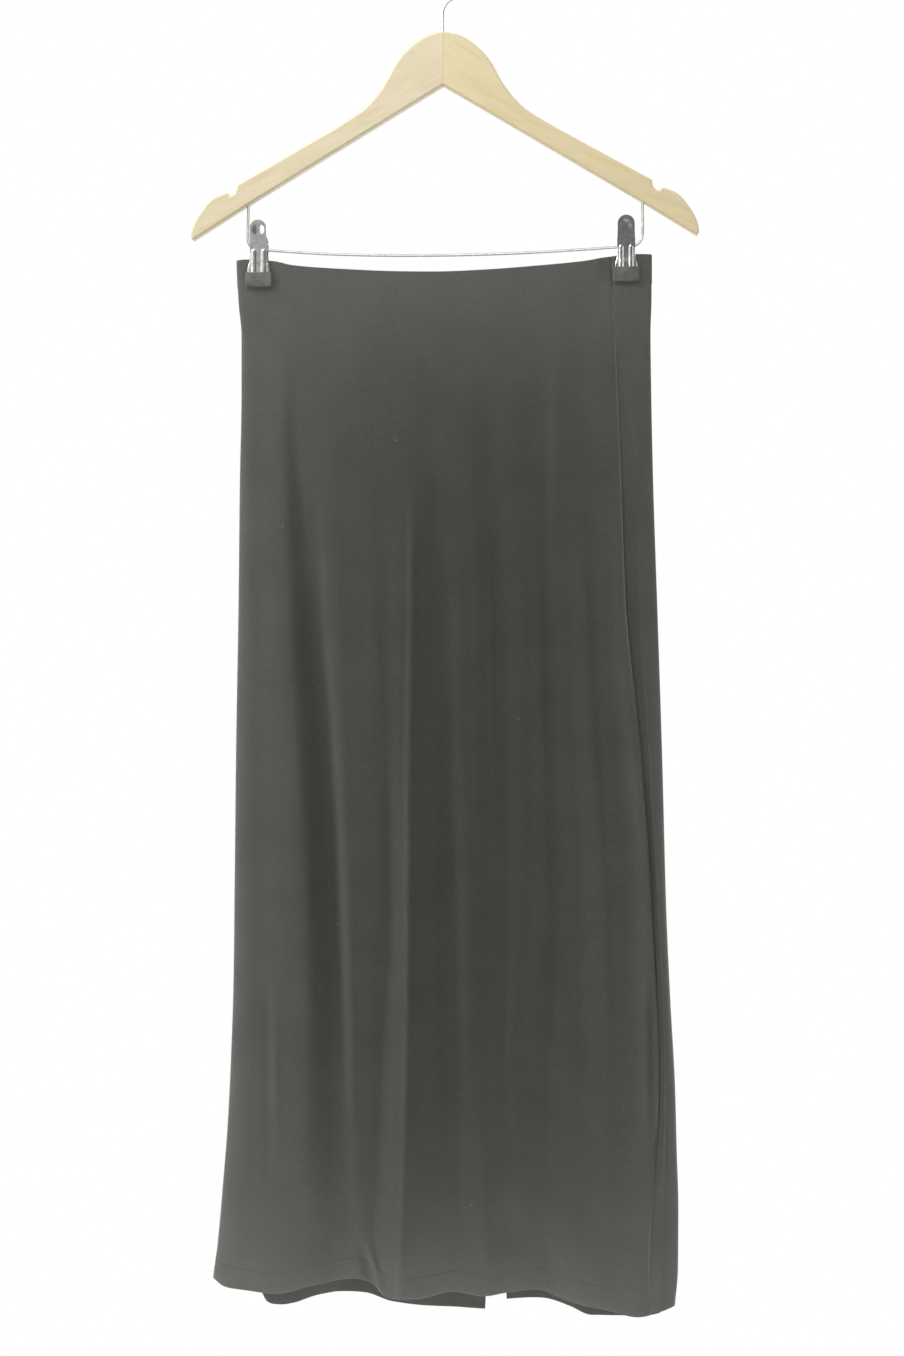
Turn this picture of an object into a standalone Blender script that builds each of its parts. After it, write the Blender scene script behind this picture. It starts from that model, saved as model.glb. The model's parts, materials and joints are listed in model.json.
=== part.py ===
"""A long jersey skirt held by its waist in the two clips of a trouser hanger.

Lengths are in millimetres up to the last step, which makes them metres. +X is the viewer's right,
-Y is the front and +Z is up. The origin is inside the hook's crown, where a rail carries it.
"""
import math

import bmesh
import bpy
from mathutils import Vector

MM = 0.001
GAP = 0.3

# the skirt hangs from WAIST_Z, and down is measured from there along its nominal length
WAIST_Z = -255.0
LENGTH = 908.0
CLOTH = 1.2
SLIT_LENGTH = 240.0
SLIT_WIDTH = 19.0

# the outline seen from the front: down, left edge x, right edge x
OUTLINE = (
    (0.0, -182.3, 181.4),
    (37.0, -180.6, 181.4),
    (66.0, -178.0, 180.5),
    (116.0, -178.0, 181.1),
    (196.0, -179.5, 182.8),
    (301.0, -180.6, 186.3),
    (432.0, -182.8, 190.6),
    (563.0, -184.2, 194.1),
    (641.0, -185.1, 197.5),
    (720.0, -187.7, 201.8),
    (773.0, -190.4, 203.2),
    (825.0, -194.5, 204.7),
    (878.0, -199.2, 204.3),
    (908.0, -203.2, 201.7),
)

# the side view: down, half depth at the side folds, half depth in the middle, reach of the swell
DEPTH = (
    (0.0, 1.8, 7.0, 0.74),
    (32.0, 1.8, 8.0, 0.75),
    (100.0, 3.2, 10.5, 0.90),
    (200.0, 4.5, 12.5, 0.97),
    (400.0, 6.0, 15.0, 1.0),
    (650.0, 7.0, 17.0, 1.0),
    (908.0, 8.0, 18.0, 1.0),
)
SIDE_ROUNDNESS = 0.55

# the skirt is turned on its clips: down, right seam x on the front, centre-back seam x
SEAMS = (
    (0.0, 146.0, 30.0),
    (124.0, 152.3, 31.0),
    (201.0, 155.3, 31.6),
    (301.0, 159.2, 33.0),
    (412.0, 170.4, 34.5),
    (559.0, 182.1, 38.0),
    (640.0, 186.8, 40.0),
    (713.0, 187.7, 41.5),
    (770.0, 185.1, 42.7),
    (821.0, 181.6, 43.6),
    (861.0, 179.5, 44.3),
    (908.0, 180.8, 45.0),
)

# the edge at the waist sags between the clips: x, drop below WAIST_Z
WAIST_EDGE = (
    (-182.0, 3.1),
    (-175.0, 2.3),
    (-150.0, 3.9),
    (-133.0, 7.6),
    (-98.0, 11.0),
    (-35.0, 14.7),
    (-3.0, 15.2),
    (39.0, 13.7),
    (81.0, 10.6),
    (122.0, 6.7),
    (146.0, 2.9),
    (171.0, 1.1),
    (181.0, 1.4),
)

# the hems: x, drop below WAIST_Z
FRONT_HEM = (
    (-203.0, 895.0),
    (-192.0, 902.1),
    (-174.0, 904.5),
    (-148.0, 906.7),
    (-114.0, 898.3),
    (-75.0, 891.7),
    (-63.0, 894.5),
    (-47.0, 907.4),
    (-22.0, 907.1),
    (10.0, 901.4),
    (35.0, 904.3),
    (80.0, 898.5),
    (106.0, 906.8),
    (141.0, 916.2),
    (171.0, 922.6),
    (202.0, 913.2),
)
BACK_HEM = (
    (-203.0, 896.0),
    (-180.0, 909.1),
    (-158.0, 915.8),
    (-144.0, 920.3),
    (-109.0, 911.0),
    (-94.0, 908.6),
    (-70.0, 910.4),
    (-46.0, 917.6),
    (0.0, 921.6),
    (34.0, 923.0),
    (55.0, 913.9),
    (85.0, 912.4),
    (110.0, 918.2),
    (129.0, 925.4),
    (172.0, 925.6),
    (202.0, 914.0),
)

# the folds: each stage is a height, each row a ridge or a valley with its x at the five stages
# and then how far it stands out, or in, at the same stages
FOLD_STAGES = (153.0, 336.0, 562.0, 713.0, 871.0)
FOLD_START = 45.0
FOLD_FULL = 175.0
FRONT_FOLDS = (
    ("left ridge", (-142.0, -135.0, -122.0, -120.0, -123.0), (1.0, 2.5, 3.0, 2.6, 2.0)),
    ("main valley", (-128.0, -108.0, -94.0, -89.0, -81.5), (-1.8, -5.6, -6.2, -4.8, -2.8)),
    ("valley shoulder", (-95.0, -88.0, -79.0, -77.0, -72.0), (-0.6, -2.4, -3.0, -2.6, -2.2)),
    ("crease foot", (-60.0, -53.6, -46.6, -54.0, -62.0), (0.0, -1.2, -2.2, -2.6, -2.6)),
    ("front crease", (-26.5, -26.5, -27.5, -29.5, -35.0), (0.6, 2.2, 4.0, 5.0, 4.6)),
    ("crease valley", (-6.5, -1.3, 2.2, 5.0, 10.0), (-0.2, -1.2, -2.5, -3.2, -3.0)),
    ("middle ridge", (23.0, 32.6, 28.3, 31.0, 40.0), (1.0, 1.8, 2.2, 1.8, 1.2)),
    ("middle valley", (40.5, 46.5, 52.0, 50.0, 54.0), (-0.4, -1.0, -0.4, -1.0, -2.4)),
    ("narrow ridge", (59.5, 72.5, 72.0, 62.0, 67.0), (0.8, 2.0, 2.4, 1.0, -1.0)),
    ("right valley", (84.0, 86.5, 91.0, 82.0, 84.5), (-1.6, -2.0, -1.6, -2.2, -2.5)),
    ("right ridge", (104.0, 108.0, 116.6, 117.0, 121.0), (1.5, 3.0, 3.6, 3.8, 4.0)),
    ("outer valley", (122.0, 126.0, 143.0, 146.0, 146.0), (-1.6, -2.0, -2.4, -1.6, -0.6)),
    ("outer ridge", (139.0, 147.0, 167.0, 167.0, 165.0), (1.2, 2.2, 2.8, 1.6, 1.2)),
    ("seam valley", (153.5, 162.3, 182.2, 187.7, 179.6), (-2.0, -2.6, -2.6, -1.6, -0.8)),
    ("strip ridge", (168.0, 175.0, 186.9, 193.0, 190.0), (0.6, 0.8, 0.8, 1.6, 1.5)),
)
BACK_FOLDS = (
    ("left seam valley", (-148.0, -157.0, -172.5, -174.0, -174.0), (-1.0, -1.8, -2.0, -1.4, -0.8)),
    ("left ridge", (-132.0, -138.0, -134.0, -130.0, -126.0), (1.0, 2.2, 2.6, 2.4, 2.0)),
    ("left valley", (-105.0, -100.0, -96.0, -99.0, -104.0), (-1.2, -3.0, -3.5, -3.0, -2.4)),
    ("inner ridge", (-66.0, -60.0, -63.0, -70.0, -72.0), (0.8, 2.0, 3.0, 3.0, 2.5)),
    ("inner valley", (-28.0, -24.0, -30.0, -28.0, -22.0), (-0.6, -1.8, -2.6, -2.8, -2.0)),
    ("seam ridge", (2.0, 6.0, 9.0, 12.0, 14.0), (0.6, 1.4, 2.0, 2.2, 2.0)),
    ("seam valley", (31.0, 33.4, 38.0, 41.5, 44.5), (-0.8, -1.4, -1.4, -1.0, -0.5)),
    ("right ridge", (60.0, 66.0, 72.0, 78.0, 81.0), (0.8, 2.2, 2.8, 2.8, 2.4)),
    ("right valley", (98.0, 102.0, 108.0, 112.0, 115.0), (-1.2, -2.6, -3.0, -2.8, -2.0)),
    ("outer ridge", (138.0, 144.0, 152.0, 158.0, 161.0), (1.0, 2.2, 2.6, 2.4, 2.0)),
)
CLOTH_ROWS = 24

# the hanger's arms are flat boards cut to one outline: x, z from the crown out, then back below
BOARD = 12.0
BOARD_ROUND = 2.0
BOARD_TOP = (
    (0.0, -59.9),
    (16.0, -63.8),
    (31.0, -74.5),
    (42.0, -87.4),
    (51.5, -104.5),
    (62.5, -119.3),
    (74.5, -130.2),
    (97.0, -144.3),
    (181.5, -191.3),
    (183.0, -197.8),
    (187.2, -200.8),
    (191.6, -198.6),
    (204.0, -203.6),
    (213.2, -214.2),
    (220.0, -225.6),
    (222.5, -236.0),
    (220.3, -239.8),
)
BOARD_FOOT = (172.8, -210.2)
BOARD_CROTCH = (0.0, -106.8)

# the wire hook: a stem set into the top of the boards, a bend to the right and a round crown
HOOK_WIRE = 3.6
HOOK_RADIUS = 19.8
HOOK_STEM = ((-1.1, -84.0), (-1.1, -60.0), (-1.1, -46.0), (-0.6, -40.6), (1.0, -36.6), (4.2, -32.4))
HOOK_BEND = ((9.2, -29.4), (14.2, -25.8))
HOOK_BEGIN_DEG = -10.0
HOOK_END_DEG = 208.0
HOOK_STEPS = 22

# the thin wire rail: up into the left board, down, sagging across and up into the right board
RAIL_WIRE = 2.4
RAIL_LEFT = (
    (-171.5, -199.0),
    (-171.8, -212.0),
    (-172.4, -236.0),
    (-171.4, -242.6),
)
RAIL_SPAN = (
    (-168.0, -246.4),
    (-163.0, -247.3),
    (-153.4, -248.6),
    (-110.0, -252.0),
    (-60.0, -254.0),
    (0.0, -254.6),
    (60.0, -253.6),
    (110.0, -251.4),
    (150.0, -249.2),
    (160.0, -248.4),
    (167.6, -247.5),
)
RAIL_RIGHT = (
    (171.8, -243.6),
    (173.6, -237.0),
    (173.4, -212.0),
    (173.2, -199.0),
)
SOCKET_DEPTH = 13.0
WIRE_ROUTE_STEPS = 3
DRILL_SIDES = 12
DRILL_OVERRUN = 8.0

# each clip: name, x of its middle, z of its lever top, z of its cap's top
CLIPS = (
    ("left", -162.3, -223.1, -268.4),
    ("right", 159.4, -222.4, -266.6),
)
PLATE = 0.9
LEVER_RADIUS = 7.4
LEVER_TIP = 1.2
# a clip plate from its lever to its foot: fall below the lever top, half width, offset from the cloth
PLATE_ROWS = (
    (0.0, 7.4, 8.6),
    (8.0, 7.4, 7.0),
    (16.0, 7.5, 4.8),
    (21.0, 7.8, 3.4),
    (29.0, 7.8, 3.2),
    (34.0, 7.9, 3.3),
    (43.0, 9.8, 4.1),
    (50.0, 9.9, 4.15),
)
PLATE_ROW_EASE = 1.35
DIMPLE_FALL = 8.4
DIMPLE_RADIUS = 5.8
DIMPLE_DEPTH = 1.2
CAP_WIDTH = 23.2
CAP_HEIGHT = 12.8
CAP_NEAR = 2.1
CAP_DEPTH = 4.1
CAP_WALL = 1.3
CAP_POCKET = 9.0
CAP_ROUND = 0.8
PLATE_COLUMNS = 6
PLATE_STEPS = 14
SPRING_WALL = 0.7
SPRING_WIDTH = 7.0
SPRING_OPEN_DEG = 70.0
SPRING_TURN_STEPS = 12
SPRING_WIDTH_STEPS = 4

# base colour, metallic, roughness
COLOURS = {
    "jersey": ((0.030, 0.032, 0.028), 0.0, 0.9),
    "pale_wood": ((0.78, 0.70, 0.52), 0.0, 0.45),
    "warm_wood": ((0.72, 0.62, 0.40), 0.0, 0.45),
    "steel_wire": ((0.62, 0.62, 0.60), 1.0, 0.3),
    "plated_steel": ((0.66, 0.66, 0.66), 1.0, 0.22),
    "dark_rubber": ((0.035, 0.035, 0.038), 0.0, 0.6),
}


def clear_scene():
    """Remove what the open file already holds."""
    for item in list(bpy.data.objects):
        bpy.data.objects.remove(item, do_unlink=True)


def material(name):
    """The named Principled material, made once."""
    if name in bpy.data.materials:
        return bpy.data.materials[name]
    colour, metallic, roughness = COLOURS[name]
    made = bpy.data.materials.new(name)
    made.use_nodes = True
    shader = made.node_tree.nodes["Principled BSDF"]
    shader.inputs["Base Color"].default_value = (*colour, 1.0)
    shader.inputs["Metallic"].default_value = metallic
    shader.inputs["Roughness"].default_value = roughness
    made.diffuse_color = (*colour, 1.0)
    return made


def add_object(name, data, look):
    """Link new mesh or curve data into the scene as one named object."""
    data.materials.append(material(look))
    made = bpy.data.objects.new(name, data)
    bpy.context.scene.collection.objects.link(made)
    return made


def smooth(share):
    """Ease from 0 to 1."""
    share = min(max(share, 0.0), 1.0)
    return share * share * (3.0 - 2.0 * share)


def slope(points, index):
    """The slope of a smooth line at one of its points, flat where the line turns back."""
    if index in (0, len(points) - 1):
        index = min(max(index, 1), len(points) - 1)
        (x0, y0), (x1, y1) = points[index - 1], points[index]
        return (y1 - y0) / (x1 - x0)
    (x0, y0), (x1, y1), (x2, y2) = points[index - 1:index + 2]
    before = (y1 - y0) / (x1 - x0)
    after = (y2 - y1) / (x2 - x1)
    if before * after <= 0.0:
        return 0.0
    return 2.0 * before * after / (before + after)


def read_line(points, at):
    """The height at a place on a smooth line that doesn't overshoot its points."""
    if at <= points[0][0]:
        return points[0][1]
    if at >= points[-1][0]:
        return points[-1][1]
    index = next(i for i in range(1, len(points)) if at <= points[i][0])
    (x0, y0), (x1, y1) = points[index - 1], points[index]
    span = x1 - x0
    t = (at - x0) / span
    rise0 = slope(points, index - 1) * span
    rise1 = slope(points, index) * span
    bend = (2.0 * t ** 3 - 3.0 * t ** 2 + 1.0) * y0 + (3.0 * t ** 2 - 2.0 * t ** 3) * y1
    return bend + (t ** 3 - 2.0 * t ** 2 + t) * rise0 + (t ** 3 - t ** 2) * rise1


def read_table(table, column, at):
    """One column of a table whose first column is where it is read."""
    return read_line([(row[0], row[column]) for row in table], at)


def outline_at(down):
    """The left and right edge, the half depth there and the length of the side's rounding."""
    left = read_table(OUTLINE, 1, down)
    right = read_table(OUTLINE, 2, down)
    side = read_table(DEPTH, 1, down)
    return left, right, side, side * SIDE_ROUNDNESS


def fold_height(folds, x, down):
    """How far the folds stand out at x: eased from each ridge or valley to the next."""
    left, right, side, nose = outline_at(down)
    knots = [(left + nose, 0.0)]
    for name, places, heights in folds:
        place = read_line(list(zip(FOLD_STAGES, places)), down)
        knots.append((place, read_line(list(zip(FOLD_STAGES, heights)), down)))
    knots.append((right - nose, 0.0))
    ramp = smooth((down - FOLD_START) / (FOLD_FULL - FOLD_START))
    for (x0, h0), (x1, h1) in zip(knots, knots[1:]):
        if x0 <= x <= x1:
            return ramp * (h0 + (h1 - h0) * smooth((x - x0) / (x1 - x0)))
    return 0.0


def half_depth(x, down):
    """The unfolded wall's distance from the middle plane: thin at the sides and swelling between."""
    left, right, side, nose = outline_at(down)
    middle = read_table(DEPTH, 2, down)
    reach = read_table(DEPTH, 3, down) * ((right - left) / 2.0 - nose)
    across = (x - (left + right) / 2.0) / reach
    return side + (middle - side) * max(1.0 - across * across, 0.0) ** 1.5


def height_at(x, turned, fall):
    """The z of a row at x: between the waist edge and the front hem, or the back hem once turned."""
    down = fall * LENGTH
    left, right, side, nose = outline_at(down)
    share = (x - left) / (right - left)
    waist_x = OUTLINE[0][1] + share * (OUTLINE[0][2] - OUTLINE[0][1])
    hem_x = OUTLINE[-1][1] + share * (OUTLINE[-1][2] - OUTLINE[-1][1])
    top = read_table(WAIST_EDGE, 1, waist_x)
    front = read_table(FRONT_HEM, 1, hem_x)
    back = read_table(BACK_HEM, 1, hem_x)
    hem = front + (back - front) * turned
    return WAIST_Z - top - (hem - top) * fall


def ring_point(zone, place, fall):
    """A point of the outer face: place is x on the front and back, and an angle round a side."""
    down = fall * LENGTH
    left, right, side, nose = outline_at(down)
    if zone == "front":
        depth = half_depth(place, down) + fold_height(FRONT_FOLDS, place, down)
        return Vector((place, -depth, height_at(place, 0.0, fall)))
    if zone == "back":
        depth = half_depth(place, down) + fold_height(BACK_FOLDS, place, down)
        return Vector((place, depth, height_at(place, 1.0, fall)))
    angle = math.radians(place)
    if zone == "left side":
        x = left + nose - nose * math.sin(angle)
    else:
        x = right - nose + nose * math.sin(angle)
    turned = 0.5 - 0.5 * math.cos(angle)
    return Vector((x, -side * math.cos(angle), height_at(x, turned, fall)))


def left_side(down):
    """Where the left side's rounding begins."""
    left, right, side, nose = outline_at(down)
    return left + nose


def right_side(down):
    """Where the right side's rounding begins."""
    left, right, side, nose = outline_at(down)
    return right - nose


def right_seam(down):
    """The right side seam, which shows on the front."""
    return read_table(SEAMS, 1, down)


def left_seam(down):
    """The left side seam, as far round on the back as the right one is on the front."""
    left, right, side, nose = outline_at(down)
    return left + right - right_seam(down)


def back_seam(down, sign):
    """One edge of the centre-back seam, which opens into the slit near the hem."""
    below = max(down - (LENGTH - SLIT_LENGTH), 0.0) / SLIT_LENGTH
    opening = SLIT_WIDTH * below ** 1.5
    return read_table(SEAMS, 2, down) + sign * (GAP + opening) / 2.0


# each panel's way round the ring: zone, columns, where it begins and where it ends
HALF_GAP = GAP / 2.0
FRONT_TRACK = (
    ("front", 42, lambda down: right_seam(down) - HALF_GAP, left_side),
    ("left side", 6, lambda down: 0.0, lambda down: 180.0),
    ("back", 4, left_side, lambda down: left_seam(down) - HALF_GAP),
)
BACK_LEFT_TRACK = (
    ("back", 24, lambda down: left_seam(down) + HALF_GAP, lambda down: back_seam(down, -1.0)),
)
BACK_RIGHT_TRACK = (
    ("back", 15, lambda down: back_seam(down, 1.0), right_side),
    ("right side", 6, lambda down: 180.0, lambda down: 0.0),
    ("front", 4, right_side, lambda down: right_seam(down) + HALF_GAP),
)


def track_point(track, across, fall):
    """The point a share of the way along a panel's track, on the row at fall."""
    steps = across * sum(row[1] for row in track)
    for zone, columns, begin, end in track:
        if steps <= columns + 0.001:
            down = fall * LENGTH
            place = begin(down) + (end(down) - begin(down)) * steps / columns
            return ring_point(zone, place, fall)
        steps -= columns
    raise ValueError("across runs past the panel's track")


def add_sheet(name, columns, rows, place, wall, look):
    """A grid whose points place(across, fall) gives, thickened inwards into a closed wall."""
    sheet = bmesh.new()
    bmesh.ops.create_grid(sheet, x_segments=columns, y_segments=rows, size=0.5)
    for vert in sheet.verts:
        vert.co = place(vert.co.x + 0.5, 0.5 - vert.co.y) * MM
    data = bpy.data.meshes.new(name)
    sheet.to_mesh(data)
    sheet.free()
    data.shade_smooth()
    made = add_object(name, data, look)
    thicken = made.modifiers.new("Wall", "SOLIDIFY")
    thicken.thickness = wall * MM
    thicken.offset = -1.0
    thicken.use_even_offset = True
    return made


def add_panel(name, track):
    """One cut piece of the skirt."""
    columns = sum(row[1] for row in track)

    def place(across, fall):
        return track_point(track, 1.0 - across, fall)

    return add_sheet(name, columns, CLOTH_ROWS, place, CLOTH, "jersey")


def add_wire(name, points, thickness, roundness, look):
    """A round wire through points in the middle plane, with closed ends."""
    curve = bpy.data.curves.new(name, "CURVE")
    curve.dimensions = "3D"
    curve.bevel_depth = thickness / 2.0 * MM
    curve.bevel_resolution = roundness
    curve.use_fill_caps = True
    line = curve.splines.new("POLY")
    line.points.add(len(points) - 1)
    for point, (x, z) in zip(line.points, points):
        point.co = (x * MM, 0.0, z * MM, 1.0)
    return add_object(name, curve, look)


def soften(points, steps):
    """A smooth route through hand-placed points, steps to each stretch."""
    route = []
    for index in range(len(points) - 1):
        before = Vector(points[max(index - 1, 0)])
        start = Vector(points[index])
        end = Vector(points[index + 1])
        after = Vector(points[min(index + 2, len(points) - 1)])
        for step in range(steps):
            t = step / steps
            pull = (end - before) * (t ** 3 - 2.0 * t ** 2 + t) / 2.0
            push = (after - start) * (t ** 3 - t ** 2) / 2.0
            rest = start * (2.0 * t ** 3 - 3.0 * t ** 2 + 1.0) + end * (3.0 * t ** 2 - 2.0 * t ** 3)
            route.append(tuple(rest + pull + push))
    route.append(tuple(points[-1]))
    return route


def add_drill(name, x, low, high, radius):
    """A hidden upright cylinder that cuts a wire's hole."""
    drill = bmesh.new()
    bmesh.ops.create_cone(drill, cap_ends=True, segments=DRILL_SIDES, radius1=radius * MM,
                          radius2=radius * MM, depth=(high - low) * MM)
    data = bpy.data.meshes.new(name)
    drill.to_mesh(data)
    drill.free()
    made = bpy.data.objects.new(name, data)
    bpy.context.scene.collection.objects.link(made)
    made.location = (x * MM, 0.0, (low + high) / 2.0 * MM)
    made.hide_render = True
    made.display_type = "WIRE"
    return made


def add_board(name, sign, look, drills):
    """One arm of the hanger: its outline extruded, its rims rounded and its wire holes drilled."""
    outline = [(HALF_GAP, BOARD_TOP[0][1])]
    outline += list(BOARD_TOP[1:])
    outline.append(BOARD_FOOT)
    outline.append((HALF_GAP, BOARD_CROTCH[1]))
    board = bmesh.new()
    front = [board.verts.new((sign * x * MM, -BOARD / 2.0 * MM, z * MM)) for x, z in outline]
    face = board.faces.new(front)
    grown = bmesh.ops.extrude_face_region(board, geom=[face])
    moved = [item for item in grown["geom"] if isinstance(item, bmesh.types.BMVert)]
    bmesh.ops.translate(board, verts=moved, vec=(0.0, BOARD * MM, 0.0))
    rims = [edge for edge in board.edges if abs(edge.verts[0].co.y - edge.verts[1].co.y) < MM
            and max(abs(vert.co.x) for vert in edge.verts) > MM]
    bmesh.ops.bevel(board, geom=rims, offset=BOARD_ROUND * MM, segments=2, profile=0.5,
                    affect="EDGES", material=-1)
    bmesh.ops.recalc_face_normals(board, faces=board.faces)
    data = bpy.data.meshes.new(name)
    board.to_mesh(data)
    board.free()
    made = add_object(name, data, look)
    for drill in drills:
        cut = made.modifiers.new("Hole", "BOOLEAN")
        cut.operation = "DIFFERENCE"
        cut.solver = "EXACT"
        cut.object = drill
    return made


def add_clip_plate(name, middle, lever_top, face):
    """One pressed plate of a clip, from the lever's dimple to the foot in its cap."""

    def place(across, fall):
        drop = fall ** PLATE_ROW_EASE * PLATE_ROWS[-1][0]
        half_width = read_table(PLATE_ROWS, 1, drop)
        if drop < LEVER_RADIUS:
            half_width = max(math.sqrt(drop * (2.0 * LEVER_RADIUS - drop)), LEVER_TIP)
        offset = read_table(PLATE_ROWS, 2, drop)
        x = (2.0 * across - 1.0) * half_width
        round_off = math.hypot(x, drop - DIMPLE_FALL) / DIMPLE_RADIUS
        dimple = DIMPLE_DEPTH * smooth(1.0 - round_off)
        y = face * (offset + PLATE / 2.0 - dimple)
        return Vector((middle - face * x, y, lever_top - drop))

    return add_sheet(name, PLATE_COLUMNS, PLATE_STEPS, place, PLATE, "plated_steel")


def add_cap(name, middle, top, face):
    """A rubber cap pushed on a plate's foot: a block with a pocket in its upper face."""
    cap = bmesh.new()
    bmesh.ops.create_cube(cap, size=1.0)
    centre = CAP_NEAR + CAP_DEPTH / 2.0
    for vert in cap.verts:
        x = vert.co.x * CAP_WIDTH
        y = face * centre + vert.co.y * CAP_DEPTH
        vert.co = Vector((middle + x, y, top + (vert.co.z - 0.5) * CAP_HEIGHT)) * MM
    half_way = (top - CAP_HEIGHT / 2.0) * MM
    outer = [edge for edge in cap.edges if min(vert.co.z for vert in edge.verts) < half_way]
    upper = max(cap.faces, key=lambda item: item.calc_center_median().z)
    bmesh.ops.inset_region(cap, faces=[upper], thickness=CAP_WALL * MM)
    pocket = bmesh.ops.extrude_discrete_faces(cap, faces=[upper])["faces"][0]
    bmesh.ops.translate(cap, verts=pocket.verts, vec=(0.0, 0.0, -CAP_POCKET * MM))
    bmesh.ops.bevel(cap, geom=outer, offset=CAP_ROUND * MM, segments=2, profile=0.5,
                    affect="EDGES", material=-1)
    bmesh.ops.recalc_face_normals(cap, faces=cap.faces)
    data = bpy.data.meshes.new(name)
    cap.to_mesh(data)
    cap.free()
    return add_object(name, data, "dark_rubber")


def add_spring(name, middle):
    """The band spring round the rail between a clip's plates, open at the bottom."""
    radius = RAIL_WIRE / 2.0 + GAP + SPRING_WALL

    def place(across, fall):
        turn = math.radians(SPRING_OPEN_DEG / 2.0 + (360.0 - SPRING_OPEN_DEG) * across)
        x = middle + (fall - 0.5) * SPRING_WIDTH
        return Vector((x, -radius * math.sin(turn), read_line(RAIL_SPAN, x) - radius * math.cos(turn)))

    return add_sheet(name, SPRING_TURN_STEPS, SPRING_WIDTH_STEPS, place, SPRING_WALL, "plated_steel")


def build_skirt():
    """The three cut pieces."""
    add_panel("front_panel", FRONT_TRACK)
    add_panel("back_left_panel", BACK_LEFT_TRACK)
    add_panel("back_right_panel", BACK_RIGHT_TRACK)


def build_hanger():
    """The two boards, the hook and the rail."""
    stem_x, stem_foot = HOOK_STEM[0]
    hook_drill = add_drill("hook_hole", stem_x, stem_foot - GAP, BOARD_TOP[0][1] + DRILL_OVERRUN,
                           HOOK_WIRE / 2.0 + GAP)
    drills = []
    for x, end_z in (RAIL_LEFT[0], RAIL_RIGHT[-1]):
        drills.append(add_drill("rail_hole", x, end_z - SOCKET_DEPTH - DRILL_OVERRUN, end_z + GAP,
                                RAIL_WIRE / 2.0 + 2.0 * GAP))
    add_board("hanger_board_left", -1.0, "pale_wood", (hook_drill, drills[0]))
    add_board("hanger_board_right", 1.0, "warm_wood", (hook_drill, drills[1]))
    crown = []
    for step in range(HOOK_STEPS + 1):
        angle = HOOK_BEGIN_DEG + (HOOK_END_DEG - HOOK_BEGIN_DEG) * step / HOOK_STEPS
        turn = math.radians(angle)
        inside = HOOK_RADIUS - HOOK_WIRE / 2.0
        crown.append((HOOK_RADIUS * math.cos(turn), HOOK_RADIUS * math.sin(turn) - inside))
    bend = soften(HOOK_STEM + HOOK_BEND + (crown[0], crown[1]), WIRE_ROUTE_STEPS)
    add_wire("hook", bend[:-WIRE_ROUTE_STEPS - 1] + crown, HOOK_WIRE, 3, "steel_wire")
    rail = soften(RAIL_LEFT + RAIL_SPAN + RAIL_RIGHT, WIRE_ROUTE_STEPS)
    add_wire("rail", rail, RAIL_WIRE, 2, "steel_wire")


def build_clips():
    """Both clips: two plates, two caps and the spring that holds them on the rail."""
    for side, middle, lever_top, cap_top in CLIPS:
        for part, face in (("front", -1.0), ("back", 1.0)):
            add_clip_plate(f"clip_{side}_{part}_plate", middle, lever_top, face)
            add_cap(f"clip_{side}_{part}_cap", middle, cap_top, face)
        add_spring(f"clip_{side}_spring", middle)


def main():
    clear_scene()
    build_skirt()
    build_hanger()
    build_clips()


main()
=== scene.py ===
"""The dressed skirt on its clip hanger: cloth, boards, wire, clips, light and camera.

Lengths are in millimetres up to MM, which makes them metres. +X is the viewer's right, -Y is the
front and +Z is up, with the origin inside the hook's crown.
"""
import json
import math
from functools import lru_cache

import bmesh
import bpy
from mathutils import Matrix, Vector, noise

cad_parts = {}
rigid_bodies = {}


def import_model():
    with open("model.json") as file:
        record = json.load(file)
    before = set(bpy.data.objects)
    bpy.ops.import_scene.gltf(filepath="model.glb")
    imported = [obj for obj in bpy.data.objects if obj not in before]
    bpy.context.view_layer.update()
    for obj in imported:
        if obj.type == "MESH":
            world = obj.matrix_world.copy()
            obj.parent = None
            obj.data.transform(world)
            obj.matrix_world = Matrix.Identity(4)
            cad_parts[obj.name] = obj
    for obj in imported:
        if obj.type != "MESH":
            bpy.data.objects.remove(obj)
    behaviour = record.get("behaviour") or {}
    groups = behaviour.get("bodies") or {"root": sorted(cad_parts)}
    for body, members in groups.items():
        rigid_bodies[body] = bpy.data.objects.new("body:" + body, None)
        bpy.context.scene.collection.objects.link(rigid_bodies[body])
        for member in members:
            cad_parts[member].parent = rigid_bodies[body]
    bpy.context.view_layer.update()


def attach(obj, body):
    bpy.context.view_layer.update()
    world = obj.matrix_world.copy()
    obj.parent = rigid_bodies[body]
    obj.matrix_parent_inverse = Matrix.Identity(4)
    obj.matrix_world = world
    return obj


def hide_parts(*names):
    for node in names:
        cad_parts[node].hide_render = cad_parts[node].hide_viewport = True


bl_info = {
    "name": "Skirt on a clip hanger",
    "version": (1, 0, 0),
    "blender": (4, 5, 0),
    "location": "View3D > Sidebar > Skirt",
    "description": "A long jersey skirt hanging from the clips of a wooden hanger",
    "category": "Object",
}

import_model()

MM = 0.001
BODY = "root"

# the skirt hangs from WAIST_Z, and down is measured from there along its nominal length
WAIST_Z = -255.0
LENGTH = 908.0
SLIT_LENGTH = 240.0
SLIT_WIDTH = 19.0
SEAM_GAP = 0.06

# the outline seen from the front: down, left edge x, right edge x
OUTLINE = (
    (0.0, -182.3, 181.4), (37.0, -180.6, 181.4), (66.0, -178.0, 180.5), (116.0, -178.0, 181.1),
    (196.0, -179.5, 182.8), (301.0, -180.6, 186.3), (432.0, -182.8, 190.6), (563.0, -184.2, 194.1),
    (641.0, -185.1, 197.5), (720.0, -187.7, 201.8), (773.0, -190.4, 203.2), (825.0, -194.5, 204.7),
    (878.0, -199.2, 204.3), (908.0, -203.2, 201.7),
)

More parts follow.
